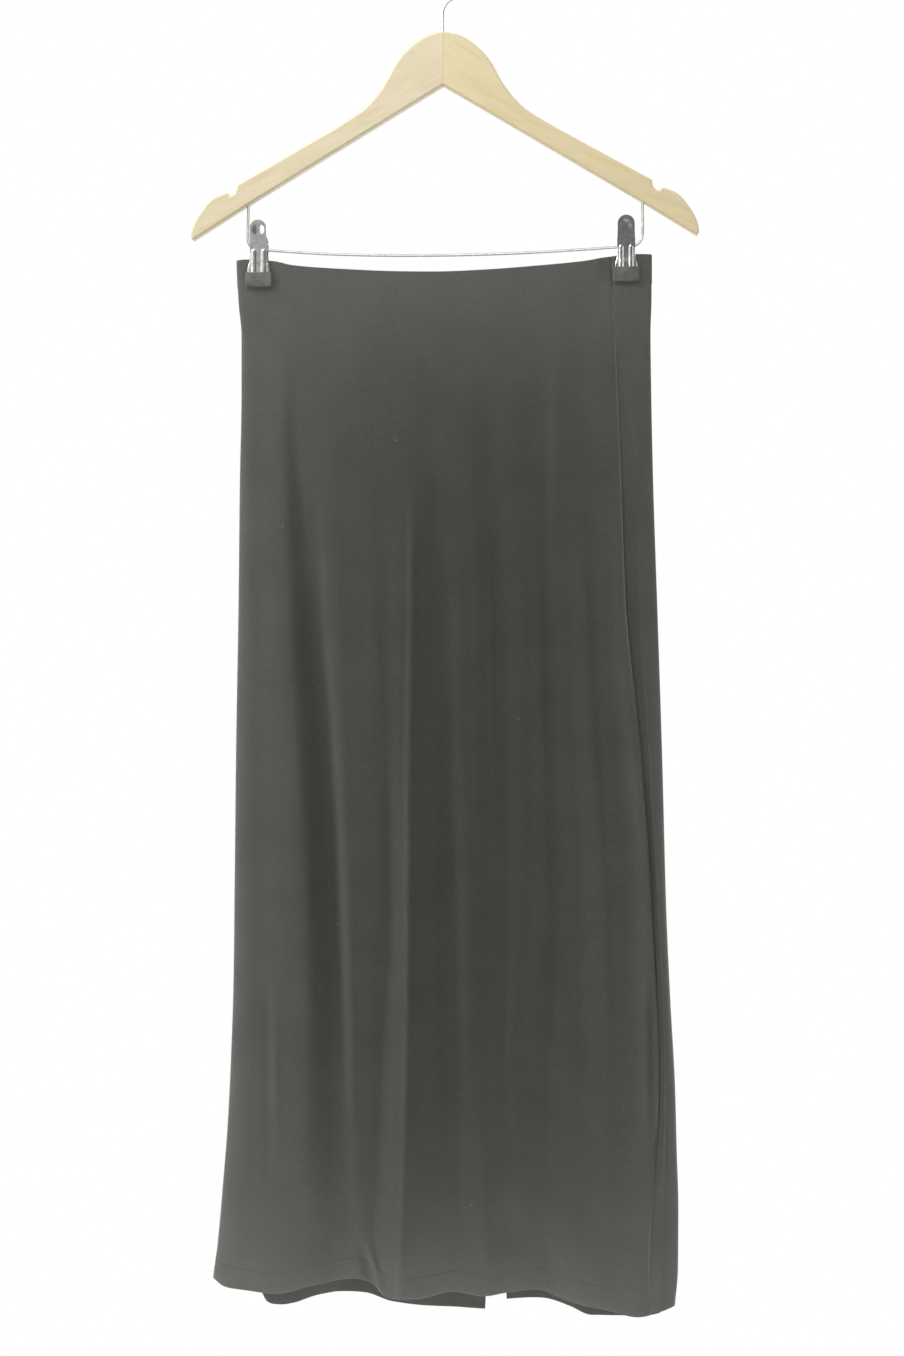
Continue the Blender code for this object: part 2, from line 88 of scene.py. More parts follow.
# the side view: down, half depth at the side folds, half depth in the middle, reach of the swell
DEPTH = (
    (0.0, 1.8, 7.0, 0.74), (32.0, 1.8, 8.0, 0.75), (100.0, 3.2, 10.5, 0.90), (200.0, 4.5, 12.5, 0.97),
    (400.0, 6.0, 15.0, 1.0), (650.0, 7.0, 17.0, 1.0), (908.0, 8.0, 18.0, 1.0),
)
SIDE_ROUNDNESS = 2.8
SEAM_SHARE = 0.6

# the skirt is turned on its clips: down, right seam x on the front, centre-back seam x
SEAMS = (
    (0.0, 146.0, 30.0), (124.0, 152.3, 31.0), (201.0, 155.3, 31.6), (301.0, 159.2, 33.0),
    (412.0, 170.4, 34.5), (559.0, 182.1, 38.0), (640.0, 186.8, 40.0), (713.0, 187.7, 41.5),
    (770.0, 185.1, 42.7), (821.0, 181.6, 43.6), (861.0, 179.5, 44.3), (908.0, 180.8, 45.0),
)

# the edge at the waist sags between the clips: x, drop below WAIST_Z
WAIST_EDGE = (
    (-182.0, 3.1), (-175.0, 2.3), (-150.0, 3.9), (-133.0, 7.6), (-98.0, 11.0), (-35.0, 14.7),
    (-3.0, 15.2), (39.0, 13.7), (81.0, 10.6), (122.0, 6.7), (146.0, 2.9), (171.0, 1.1), (181.0, 1.4),
)

# the hems: x, drop below WAIST_Z
FRONT_HEM = (
    (-203.0, 895.0), (-192.0, 902.1), (-174.0, 904.5), (-148.0, 906.7), (-114.0, 898.3), (-75.0, 891.7),
    (-63.0, 894.5), (-47.0, 907.4), (-22.0, 907.1), (10.0, 901.4), (35.0, 904.3), (80.0, 898.5),
    (106.0, 906.8), (141.0, 916.2), (171.0, 922.6), (202.0, 913.2),
)
BACK_HEM = (
    (-203.0, 896.0), (-180.0, 904.0), (-162.0, 907.0), (-159.5, 913.0), (-156.0, 918.0), (-151.0, 920.0),
    (-143.0, 920.6), (-134.0, 919.4), (-109.0, 911.0), (-94.0, 908.6), (-70.0, 910.4), (-46.0, 917.6),
    (0.0, 921.6), (34.0, 923.0), (55.0, 913.9), (85.0, 912.4), (110.0, 918.2), (129.0, 925.4),
    (172.0, 925.6), (202.0, 914.0),
)

# the folds: each stage is a height, each row a ridge or a valley with its x at the five stages
# and then how far it stands out, or in, at the same stages
FOLD_STAGES = (153.0, 336.0, 562.0, 713.0, 871.0)
FOLD_START = 45.0
FOLD_FULL = 175.0
FRONT_FOLDS = (
    ("left ridge", (-142.0, -135.0, -122.0, -120.0, -123.0), (1.0, 2.5, 3.0, 2.6, 2.0)),
    ("main valley", (-128.0, -108.0, -94.0, -89.0, -81.5), (-1.8, -5.6, -6.2, -4.8, -2.8)),
    ("valley shoulder", (-95.0, -88.0, -79.0, -77.0, -72.0), (-0.6, -2.4, -3.0, -2.6, -2.2)),
    ("crease foot", (-60.0, -53.6, -46.6, -54.0, -62.0), (0.0, -1.2, -2.2, -2.6, -2.6)),
    ("front crease", (-26.5, -26.5, -27.5, -29.5, -35.0), (0.6, 2.2, 4.0, 5.0, 4.6)),
    ("crease valley", (-6.5, -1.3, 2.2, 5.0, 10.0), (-0.2, -1.2, -2.5, -3.2, -3.0)),
    ("middle ridge", (23.0, 32.6, 28.3, 31.0, 40.0), (1.0, 1.8, 2.2, 1.8, 1.2)),
    ("middle valley", (40.5, 46.5, 52.0, 50.0, 54.0), (-0.4, -1.0, -0.4, -1.0, -2.4)),
    ("narrow ridge", (59.5, 72.5, 72.0, 62.0, 67.0), (0.8, 2.0, 2.4, 1.0, -1.0)),
    ("right valley", (84.0, 86.5, 91.0, 82.0, 84.5), (-1.6, -2.0, -1.6, -2.2, -2.5)),
    ("right ridge", (104.0, 108.0, 116.6, 117.0, 121.0), (1.5, 3.0, 3.6, 3.8, 4.0)),
    ("outer valley", (122.0, 126.0, 143.0, 146.0, 146.0), (-1.6, -2.0, -2.4, -1.6, -0.6)),
    ("outer ridge", (139.0, 147.0, 167.0, 167.0, 165.0), (1.2, 2.2, 2.8, 1.6, 1.2)),
    ("seam valley", (153.5, 162.3, 182.2, 187.7, 179.6), (-2.0, -2.6, -2.6, -1.6, -0.8)),
    ("strip ridge", (168.0, 175.0, 186.9, 193.0, 190.0), (0.6, 0.8, 0.8, 1.6, 1.5)),
)
BACK_FOLDS = (
    ("left seam valley", (-148.0, -157.0, -172.5, -174.0, -174.0), (-1.0, -1.8, -2.0, -1.4, -0.8)),
    ("left ridge", (-132.0, -138.0, -134.0, -130.0, -126.0), (1.0, 2.2, 2.6, 2.4, 2.0)),
    ("left valley", (-105.0, -100.0, -96.0, -99.0, -104.0), (-1.2, -3.0, -3.5, -3.0, -2.4)),
    ("inner ridge", (-66.0, -60.0, -63.0, -70.0, -72.0), (0.8, 2.0, 3.0, 3.0, 2.5)),
    ("inner valley", (-28.0, -24.0, -30.0, -28.0, -22.0), (-0.6, -1.8, -2.6, -2.8, -2.0)),
    ("seam ridge", (2.0, 6.0, 9.0, 12.0, 14.0), (0.6, 1.4, 2.0, 2.2, 2.0)),
    ("seam valley", (31.0, 33.4, 38.0, 41.5, 44.5), (-0.8, -1.4, -1.4, -1.0, -0.5)),
    ("right ridge", (60.0, 66.0, 72.0, 78.0, 81.0), (0.8, 2.2, 2.8, 2.8, 2.4)),
    ("right valley", (98.0, 102.0, 108.0, 112.0, 115.0), (-1.2, -2.6, -3.0, -2.8, -2.0)),
    ("outer ridge", (138.0, 144.0, 152.0, 158.0, 161.0), (1.0, 2.2, 2.6, 2.4, 2.0)),
)

# the finer relief of the cloth
CREASE_FADE = 70.0
CREASE_SWAY = 0.8
CREASE_SWAY_LENGTH = 34.0
WRINKLE_PAST_END = 0.3
WRINKLE_FADE = 0.45
# the faint unevenness: its height, how wide and how tall its large and its small patches are, its seeds
UNEVEN = 0.3
UNEVEN_LARGE = (24.0, 95.0)
UNEVEN_SMALL = (9.0, 42.0)
UNEVEN_SEED_FRONT = 3.0
UNEVEN_SEED_BACK = 41.0
UNEVEN_SEED_STEP = 9.0
UNEVEN_EDGE = 8.0
FRONT_SEAM_ROLL = 1.2
SEAM_ROLL = 0.8
SEAM_ROLL_WIDTH = 3.2
LEAST_DEPTH = 0.25
LEAST_SEAM_ROOM = 4.0
LEAST_SIDE_REACH = 0.3

# the cloth's wall, its two plies at the waist and at the hem, and the rows that shape them
CLOTH = 0.7
PLY_GAP = 0.1
WAIST_TURN = 25.0
HEM_TURN = 18.0
TURN_STEPS = 4
FOLD_STEPS = 5
CLOTH_ROWS = 165
STITCH_GROOVE = 0.12
# the rows round the hem's stitches: how far below them, and the share of the groove's depth
STITCH_ROWS = ((-1.6, 0.0), (-0.8, 0.5), (0.0, 1.0), (0.8, 0.5), (1.6, 0.0), (5.0, 0.0), (9.0, 0.0),
               (13.0, 0.0))
SLIT_STITCH_INSET = 9.0
STITCH_PROUD = 0.05
THREAD = 0.36
HEM_STEPS = 4
SLIT_STEPS = 240

# the knitted loops: how far their legs lean, and a loop's height against its width
LOOP_LEAN = 1.1
LOOP_HEIGHT = 0.8

# the finer creases: x down the cloth at CREASE_STAGES, height, half width, and where each fades in and out
CREASE_STAGES = (150.0, 300.0, 450.0, 600.0, 750.0, 890.0)
FRONT_CREASES = (
    ("front crease line", (-27.0, -26.0, -28.0, -28.5, -30.5, -36.0), 1.5, 3.2, 190.0, 960.0),
    ("valley edge line", (-116.0, -108.0, -96.5, -88.5, -84.0, -78.0), -0.6, 3.8, 170.0, 760.0),
    ("bright edge line", (-104.0, -98.0, -90.0, -83.0, -78.0, -74.0), 0.3, 3.6, 380.0, 800.0),
    ("narrow dark line", (38.0, 42.0, 46.0, 50.0, 46.0, 44.0), -0.9, 3.2, 170.0, 560.0),
    ("lower dark line", (40.0, 42.0, 46.0, 47.0, 44.5, 45.0), -0.8, 3.2, 690.0, 800.0),
    ("right ridge line", (98.0, 93.0, 97.0, 101.0, 106.0, 112.0), 0.9, 4.2, 70.0, 690.0),
    ("upper right line", (128.0, 133.0, 139.0, 149.0, 152.0, 150.0), 0.8, 4.0, 70.0, 720.0),
    ("left pull", (-156.0, -155.0, -155.0, -154.0, -153.0, -150.0), -0.7, 4.0, 620.0, 840.0),
    ("left pull ridge", (-148.0, -147.0, -147.0, -147.0, -146.0, -144.0), 0.6, 4.0, 620.0, 780.0),
    ("middle soft line", (12.0, 14.0, 17.0, 19.5, 20.0, 27.0), 0.7, 5.5, 230.0, 880.0),
    ("upper middle line", (-60.0, -58.0, -56.0, -55.0, -56.0, -60.0), 0.5, 7.0, 210.0, 420.0),
)
BACK_CREASES = (
    ("outer line", (-120.0, -122.0, -118.0, -116.0, -112.0, -110.0), 0.9, 4.0, 120.0, 820.0),
    ("valley line", (-84.0, -82.0, -84.0, -86.0, -90.0, -92.0), -0.9, 3.6, 160.0, 760.0),
    ("middle line", (-46.0, -44.0, -46.0, -50.0, -50.0, -46.0), 0.8, 4.4, 210.0, 900.0),
    ("seam pull", (16.0, 18.0, 22.0, 26.0, 28.0, 30.0), -0.7, 3.6, 100.0, 660.0),
    ("inner line", (48.0, 50.0, 54.0, 58.0, 62.0, 64.0), 0.9, 3.8, 130.0, 800.0),
    ("right line", (84.0, 88.0, 92.0, 94.0, 96.0, 98.0), -0.8, 4.0, 180.0, 720.0),
    ("outer right line", (126.0, 128.0, 132.0, 136.0, 140.0, 142.0), 0.8, 4.2, 90.0, 860.0),
)

# short wrinkles: x and down where each begins and ends, height, half width
FRONT_WRINKLES = (
    ("pinch by the right clip", (143.5, 0.0), (138.0, 14.0), -1.3, 3.6),
    ("pinch ridge", (136.5, 0.0), (131.0, 20.0), 0.7, 3.5),
    ("left clip pull", (-144.0, 6.0), (-130.0, 46.0), 0.5, 4.0),
    ("left clip dip", (-150.0, 22.0), (-150.0, 70.0), -0.4, 6.0),
    ("seam pucker hollow", (176.0, 640.0), (179.0, 752.0), -1.8, 4.0),
    ("seam pucker ridge", (182.5, 650.0), (184.0, 742.0), 1.3, 2.6),
    ("lower slant", (120.0, 742.0), (142.0, 772.0), 0.8, 3.0),
    ("lower long slant", (75.0, 808.0), (95.0, 888.0), -0.8, 3.4),
    ("crease nick one", (-31.0, 636.0), (-24.0, 662.0), 0.7, 1.9),
    ("crease nick two", (-30.0, 650.0), (-24.5, 672.0), -0.6, 1.8),
    ("dark pool", (55.0, 842.0), (84.0, 878.0), -1.2, 11.0),
    ("right pool", (138.0, 838.0), (138.0, 892.0), -1.0, 10.0),
    ("left pool", (-140.0, 800.0), (-112.0, 880.0), -0.9, 14.0),
    ("hem curl", (-72.0, 880.0), (-62.0, 908.0), -1.3, 4.0),
    ("hem curl lip", (-63.0, 882.0), (-52.0, 907.0), 1.4, 2.4),
    ("strip ridge", (198.0, 640.0), (191.0, 776.0), 0.9, 3.0),
    ("strip ridge end", (191.0, 768.0), (184.0, 822.0), 1.4, 2.4),
)
BACK_WRINKLES = (
    ("left clip pull", (-150.0, 8.0), (-134.0, 60.0), 0.6, 4.0),
    ("right clip pull", (146.0, 8.0), (128.0, 56.0), 0.6, 4.0),
    ("slit pull", (30.0, 640.0), (12.0, 700.0), 0.8, 4.0),
    ("hem roll", (96.0, 850.0), (104.0, 915.0), 1.2, 7.0),
)

# tiny bits of lint on the front: x, down, turn in degrees
LINT = (
    (-41.0, 150.0, 20.0), (-140.5, 233.0, 100.0), (25.5, 830.0, 60.0), (66.0, 402.0, 150.0),
    (-93.0, 588.0, 35.0),
)
LINT_LENGTH = 1.7
LINT_WIDTH = 0.28

# the hanger's arms are flat boards cut to one outline: x, z from the crown out, then back below
BOARD = 12.0
BOARD_ROUND = 2.0
BOARD_TOP = (
    (0.0, -59.9), (16.0, -63.8), (31.0, -74.5), (42.0, -87.4), (51.5, -104.5), (62.5, -119.3),
    (74.5, -130.2), (97.0, -144.3), (181.5, -191.3), (183.0, -197.8), (187.2, -200.8), (191.6, -198.6),
    (204.0, -203.6), (213.2, -214.2), (220.0, -225.6), (222.5, -236.0), (220.3, -239.8),
)
BOARD_NOTCH_ROW = 8
BOARD_STEPS = 4
BOARD_SHARP_DEG = 35.0
BOARD_FOOT = (172.8, -210.2)
BOARD_CROTCH = (0.0, -106.8)
HALF_JOINT = 0.06

# the wire hook: a stem set into the top of the boards, a bend to the right and a round crown
HOOK_WIRE = 3.6
HOOK_RADIUS = 19.8
HOOK_STEM = ((-1.1, -84.0), (-1.1, -60.0), (-1.1, -46.0), (-0.6, -40.6), (1.0, -36.6), (4.2, -32.4))
HOOK_BEND = ((9.2, -29.4), (14.2, -25.8))
HOOK_BEGIN_DEG = -10.0
HOOK_END_DEG = 208.0
HOOK_STEPS = 64

# the thin wire rail: up into the left board, down, sagging across and up into the right board
RAIL_WIRE = 2.4
RAIL_LEFT = (
    (-171.5, -199.0), (-171.8, -212.0), (-172.4, -236.0), (-171.4, -242.6),
)
RAIL_SPAN = (
    (-168.0, -246.4), (-163.0, -247.3), (-153.4, -248.6), (-110.0, -252.0), (-60.0, -254.0),
    (0.0, -254.6), (60.0, -253.6), (110.0, -251.4), (150.0, -249.2), (160.0, -248.4), (167.6, -247.5),
)
RAIL_RIGHT = (
    (171.8, -243.6), (173.6, -237.0), (173.4, -212.0), (173.2, -199.0),
)
WIRE_ROUTE_STEPS = 6

# each clip: name, x of its middle, z of its lever top, z of its cap's top
CLIPS = (
    ("left", -162.3, -223.1, -268.4),
    ("right", 159.4, -222.4, -266.6),
)
PLATE = 0.9
LEVER_RADIUS = 7.4
LEVER_TIP = 1.2
# a clip plate from its lever to its foot: fall below the lever top, half width, offset from the cloth
PLATE_ROWS = (
    (0.0, 7.4, 8.6), (8.0, 7.4, 7.0), (16.0, 7.5, 4.8), (21.0, 7.8, 3.4), (29.0, 7.8, 3.2),
    (34.0, 7.9, 3.3), (43.0, 9.8, 4.1), (50.0, 9.9, 4.15),
)
PLATE_ROW_EASE = 1.35
DIMPLE_FALL = 8.4
DIMPLE_RADIUS = 5.8
DIMPLE_DEPTH = 1.2
CAP_WIDTH = 23.2
CAP_HEIGHT = 12.8
CAP_NEAR = 2.1
CAP_DEPTH = 4.1
CAP_WALL = 1.3
CAP_POCKET = 9.0
CAP_ROUND = 0.8
PLATE_COLUMNS = 44
PLATE_STEPS = 110
SPRING_WALL = 0.7
SPRING_WIDTH = 7.0
SPRING_OPEN_DEG = 70.0
SPRING_TURN_STEPS = 40
SPRING_WIDTH_STEPS = 8
SPRING_GAP = 0.3

# the hanger's finer form in the scene
WIRE_SIDES = 20
RIB_APART = 8.6
RIB_WIDTH = 4.3
RIB_TOP = 25.0
RIB_HEIGHT = 0.75
RIB_WALL = 1.2
PLATE_CURL = 0.45
PLATE_CURL_BEGIN = 0.93
CAP_CORNER = 2.4
CAP_FLARE = 0.02
CAP_RIM_DEG = 45.0
CAP_SHARP_DEG = 50.0
NIB_RADIUS = 0.9
NIB_FLATNESS = 0.4
NIB_FALL = 0.55
GRAIN_TURN = 0.47

# a wire's rounded end: how far along and how wide, from its tip in
WIRE_END = ((0.5, 0.35), (0.57, 0.62), (0.72, 0.85), (1.0, 0.98))
# the cuts across each board, which keep its flat faces small, and how straight a flat face's normal is
BOARD_CUTS = 28
BOARD_CUT_STEP = 8.0
BOARD_CUT_NEAR = 0.0001
FLAT_NORMAL = 0.9999

# the studio, in metres
FLOOR_SIZE = 3.6
FLOOR_LEVEL = -1.75
# the pieces that some of the lights are kept to
CLOTH_PIECES = ("cloth_front", "cloth_back_left", "cloth_back_right", "hem_stitches", "lint")
LEFT_CLIP = ("left_front_plate",)
RIGHT_CLIP = ("right_front_plate",)
WIRES = ("hook_wire", "rail_wire")
BOARDS = ("board_left", "board_right")
# each light: its name, place, the point it aims at, width and height, power in watts and what it lights
LAMPS = (
    ("high_left", (-1.0, -0.5, 0.5), (0.0, 0.0, -0.4), (0.5, 0.5), 13.4, None),
    ("high_front", (-0.3, -1.1, 0.6), (0.0, 0.0, -0.3), (0.9, 0.5), 5.8, None),
    ("low_front", (0.0, -0.7, -1.6), (0.0, 0.0, -1.1), (1.2, 0.5), 2.4, None),
    ("hanger_front", (0.9, -1.2, 0.3), (0.0, 0.0, -0.15), (0.8, 0.8), 6.0, BOARDS),
    ("left_clip_side", (-1.05, -0.80, -0.34), (-0.162, 0.0, -0.24), (0.75, 1.4), 9.0, LEFT_CLIP),
    ("left_clip_front", (-0.55, -2.1, -0.55), (-0.162, 0.0, -0.24), (1.5, 2.4), 4.2, LEFT_CLIP),
    ("right_clip_left", (-0.76, -0.77, -0.34), (0.159, 0.0, -0.24), (0.45, 1.4), 8.0, RIGHT_CLIP),
    ("wires_front", (0.15, -1.6, 0.05), (0.01, 0.0, -0.05), (1.3, 1.2), 9.0, WIRES),
    ("right_clip_right", (1.08, -0.77, -0.34), (0.159, 0.0, -0.24), (0.35, 1.4), 5.0, RIGHT_CLIP),
)
# strips just outside the outline, which light the cloth's edges as a bright backdrop does
EDGE_STRIPS = (
    ("left_edge", (-0.25, -0.05, -0.72), (0.0, -0.02, -0.72), (0.02, 1.0), 0.90, CLOTH_PIECES),
    ("left_border", (-0.31, -0.13, -0.72), (0.0, -0.05, -0.72), (0.03, 1.05), 0.38, CLOTH_PIECES),
    ("right_edge", (0.26, -0.05, -0.72), (0.0, -0.02, -0.72), (0.02, 1.0), 0.36, CLOTH_PIECES),
    ("right_border", (0.32, -0.13, -0.72), (0.0, -0.05, -0.72), (0.03, 1.05), 0.78, CLOTH_PIECES),
    ("top_edge", (0.0, -0.07, -0.225), (0.0, -0.07, -1.0), (0.4, 0.02), 0.42, CLOTH_PIECES),
    ("foot_edge", (0.0, -0.07, -1.22), (0.0, -0.07, 0.0), (0.42, 0.02), 0.60, CLOTH_PIECES),
)
CAMERA_PLACE = (0.1706, -2.3944, -0.6241)
CAMERA_TARGET = (0.0074, 0.0, -0.6241)


def smooth(share):
    """Ease from 0 to 1."""
    share = min(max(share, 0.0), 1.0)
    return share * share * (3.0 - 2.0 * share)


def slope(points, index):
    """The slope of a smooth line at one of its points, flat where the line turns back."""
    if index in (0, len(points) - 1):
        index = min(max(index, 1), len(points) - 1)
        (x0, y0), (x1, y1) = points[index - 1], points[index]
        return (y1 - y0) / (x1 - x0)
    (x0, y0), (x1, y1), (x2, y2) = points[index - 1:index + 2]
    before = (y1 - y0) / (x1 - x0)
    after = (y2 - y1) / (x2 - x1)
    if before * after <= 0.0:
        return 0.0
    return 2.0 * before * after / (before + after)


def read_line(points, at):
    """The height at a place on a smooth line that doesn't overshoot its points."""
    if at <= points[0][0]:
        return points[0][1]
    if at >= points[-1][0]:
        return points[-1][1]
    index = next(i for i in range(1, len(points)) if at <= points[i][0])
    (x0, y0), (x1, y1) = points[index - 1], points[index]
    span = x1 - x0
    t = (at - x0) / span
    rise0 = slope(points, index - 1) * span
    rise1 = slope(points, index) * span
    bend = (2.0 * t ** 3 - 3.0 * t ** 2 + 1.0) * y0 + (3.0 * t ** 2 - 2.0 * t ** 3) * y1
    return bend + (t ** 3 - 2.0 * t ** 2 + t) * rise0 + (t ** 3 - t ** 2) * rise1


def read_table(table, column, at):
    """One column of a table whose first column is where it is read."""
    return read_line([(row[0], row[column]) for row in table], at)


@lru_cache(maxsize=None)
def outline_at(down):
    """The left and right edge, the half depth there and the length of each side's rounding."""
    left = read_table(OUTLINE, 1, down)
    right = read_table(OUTLINE, 2, down)
    side = read_table(DEPTH, 1, down)
    left_nose = side * SIDE_ROUNDNESS
    right_nose = min(left_nose, SEAM_SHARE * (right - read_table(SEAMS, 1, down)))
    return left, right, side, left_nose, right_nose


@lru_cache(maxsize=None)
def swell_at(down):
    """The half depth in the middle and how far out the swell reaches."""
    return read_table(DEPTH, 2, down), read_table(DEPTH, 3, down)


@lru_cache(maxsize=None)
def fold_knots(front, down):
    """The ridges and valleys of one face on one row, from side to side."""
    left, right, side, left_nose, right_nose = outline_at(down)
    ramp = smooth((down - FOLD_START) / (FOLD_FULL - FOLD_START))
    knots = [(left + left_nose, 0.0)]
    for name, places, heights in FRONT_FOLDS if front else BACK_FOLDS:
        place = read_line(list(zip(FOLD_STAGES, places)), down)
        knots.append((place, ramp * read_line(list(zip(FOLD_STAGES, heights)), down)))
    knots.append((right - right_nose, 0.0))
    return tuple(knots)


@lru_cache(maxsize=None)
def creases_at(front, down):
    """The fine creases that cross one row: place, height and half width."""
    found = []
    for name, places, height, width, begin, end in FRONT_CREASES if front else BACK_CREASES:
        fade = smooth((down - begin) / CREASE_FADE) * smooth((end - down) / CREASE_FADE)
        if fade > 0.0:
            place = read_line(list(zip(CREASE_STAGES, places)), down)
            sway = CREASE_SWAY * noise.noise(Vector((height * 7.0, down / CREASE_SWAY_LENGTH, width)))
            found.append((place + sway, height * fade, width))
    return tuple(found)


def bump_line(offset, width):
    """A soft line's cross-section, 1 on the line and 0 past twice its half width."""
    reach = abs(offset) / (2.0 * width)
    return (1.0 - reach) ** 2 * (1.0 + 2.0 * reach) if reach < 1.0 else 0.0


def wrinkle_height(front, x, down):
    """How far the short wrinkles stand out at a point."""
    total = 0.0
    for name, begin, end, height, width in FRONT_WRINKLES if front else BACK_WRINKLES:
        run_x = end[0] - begin[0]
        run_d = end[1] - begin[1]
        along = ((x - begin[0]) * run_x + (down - begin[1]) * run_d) / (run_x ** 2 + run_d ** 2)
        if -WRINKLE_PAST_END < along < 1.0 + WRINKLE_PAST_END:
            across = math.hypot(x - begin[0] - along * run_x, down - begin[1] - along * run_d)
            fade = smooth((along + WRINKLE_PAST_END) / WRINKLE_FADE)
            fade *= smooth((1.0 + WRINKLE_PAST_END - along) / WRINKLE_FADE)
            total += height * fade * bump_line(across, width)
    return total


def relief(front, x, down):
    """How far the cloth stands out at x: the main folds, the fine creases and a faint unevenness."""
    height = 0.0
    knots = fold_knots(front, down)
    for (x0, h0), (x1, h1) in zip(knots, knots[1:]):
        if x0 <= x <= x1:
            height = h0 + (h1 - h0) * smooth((x - x0) / (x1 - x0))
            break
    for place, crease, width in creases_at(front, down):
        height += crease * bump_line(x - place, width)
    height += wrinkle_height(front, x, down)
    seed = UNEVEN_SEED_FRONT if front else UNEVEN_SEED_BACK
    uneven = noise.noise(Vector((x / UNEVEN_LARGE[0], down / UNEVEN_LARGE[1], seed)))
    place = Vector((x / UNEVEN_SMALL[0], down / UNEVEN_SMALL[1], seed + UNEVEN_SEED_STEP))
    uneven += 0.5 * noise.noise(place)
    edge_fade = smooth((x - knots[0][0]) / UNEVEN_EDGE) * smooth((knots[-1][0] - x) / UNEVEN_EDGE)
    return (height + UNEVEN * smooth(down / FOLD_START) * uneven) * edge_fade + height * (1 - edge_fade)


def seam_roll(x, down, front):
    """How far the cloth rolls in beside a seam."""
    if front:
        seams = ((right_seam(down), FRONT_SEAM_ROLL),)
    else:
        seams = ((left_seam(down), SEAM_ROLL), (read_seam(2, down), SEAM_ROLL))
    total = 0.0
    for place, depth in seams:
        reach = abs(x - place) / SEAM_ROLL_WIDTH
        if reach < 1.0:
            total += depth * (1.0 - reach) ** 2
    return total


@lru_cache(maxsize=None)
def read_seam(column, down):
    """The x of the right side seam, column 1, or of the centre-back seam, column 2."""
    return read_table(SEAMS, column, down)


def half_depth(x, down):
    """The unfolded wall's distance from the middle plane: thin at the sides and swelling between."""
    left, right, side, left_nose, right_nose = outline_at(down)
    middle, reach = swell_at(down)
    centre = (left + left_nose + right - right_nose) / 2.0
    across = (x - centre) / (reach * (right - right_nose - centre))
    return side + (middle - side) * max(1.0 - across * across, 0.0) ** 1.5


@lru_cache(maxsize=None)
def edges_at(share):
    """The waist edge's and both hems' drop at a share of the way from the left side to the right."""
    waist_x = OUTLINE[0][1] + share * (OUTLINE[0][2] - OUTLINE[0][1])
    hem_x = OUTLINE[-1][1] + share * (OUTLINE[-1][2] - OUTLINE[-1][1])
    top = read_table(WAIST_EDGE, 1, waist_x)
    return top, read_table(FRONT_HEM, 1, hem_x), read_table(BACK_HEM, 1, hem_x)


def height_at(x, turned, fall):
    """The z of a row at x: between the waist edge and the front hem, or the back hem once turned."""
    left, right = outline_at(fall * LENGTH)[:2]
    top, front, back = edges_at(round((x - left) / (right - left), 4))
    hem = front + (back - front) * turned
    return WAIST_Z - top - (hem - top) * fall


def ring_point(zone, place, fall, inset=0.0):
    """A point inset from the outer face: place is x on the front and back, an angle round a side."""
    down = fall * LENGTH
    if zone in ("front", "back"):
        front = zone == "front"
        depth = half_depth(place, down) + relief(front, place, down) - seam_roll(place, down, front)
        depth = max(depth - inset, LEAST_DEPTH)
        return Vector((place, -depth if front else depth, height_at(place, 0.0 if front else 1.0, fall)))
    left, right, side, left_nose, right_nose = outline_at(down)
    angle = math.radians(place)
    on_left = zone == "left side"
    reach = max((left_nose if on_left else right_nose) - 0.5 * inset, LEAST_SIDE_REACH) * math.sin(angle)
    depth = max(side - inset, LEAST_DEPTH) * math.cos(angle)
    x = left + left_nose - reach if on_left else right - right_nose + reach
    return Vector((x, -depth, height_at(x, 0.5 - 0.5 * math.cos(angle), fall)))


def left_side(down):
    """Where the left side's rounding begins."""
    left, right, side, left_nose, right_nose = outline_at(down)
    return left + left_nose


def right_side(down):
    """Where the right side's rounding begins."""
    left, right, side, left_nose, right_nose = outline_at(down)
    return right - right_nose


def right_seam(down):
    """The right side seam, which shows on the front."""
    return read_seam(1, down)


def left_seam(down):
    """The left side seam, as far round on the back as the right one is on the front."""
    left, right = outline_at(down)[:2]
    return max(left + right - read_seam(1, down), left_side(down) + LEAST_SEAM_ROOM)


def back_seam(down, sign):
    """One edge of the centre-back seam, which opens into the slit near the hem."""
    below = max(down - (LENGTH - SLIT_LENGTH), 0.0) / SLIT_LENGTH
    opening = SLIT_WIDTH * below ** 1.5
    return read_seam(2, down) + sign * (SEAM_GAP + opening) / 2.0


# each panel's way round the ring: zone, columns, where it begins and where it ends
HALF_GAP = SEAM_GAP / 2.0
FRONT_TRACK = (
    ("front", 196, lambda down: right_seam(down) - HALF_GAP, left_side),
    ("left side", 18, lambda down: 0.0, lambda down: 180.0),
    ("back", 18, left_side, lambda down: left_seam(down) - HALF_GAP),
)
BACK_LEFT_TRACK = (
    ("back", 116, lambda down: left_seam(down) + HALF_GAP, lambda down: back_seam(down, -1.0)),
)
BACK_RIGHT_TRACK = (
    ("back", 80, lambda down: back_seam(down, 1.0), right_side),
    ("right side", 18, lambda down: 180.0, lambda down: 0.0),
    ("front", 30, right_side, lambda down: right_seam(down) + HALF_GAP),
)


def track_point(track, across, fall, inset=0.0):
    """The point a share of the way along a panel's track, on the row at fall."""
    steps = across * sum(row[1] for row in track)
    for zone, columns, begin, end in track:
        if steps <= columns + 0.001:
            down = fall * LENGTH
            place = begin(down) + (end(down) - begin(down)) * steps / columns
            return ring_point(zone, place, fall, inset)
        steps -= columns
    raise ValueError("across runs past the panel's track")


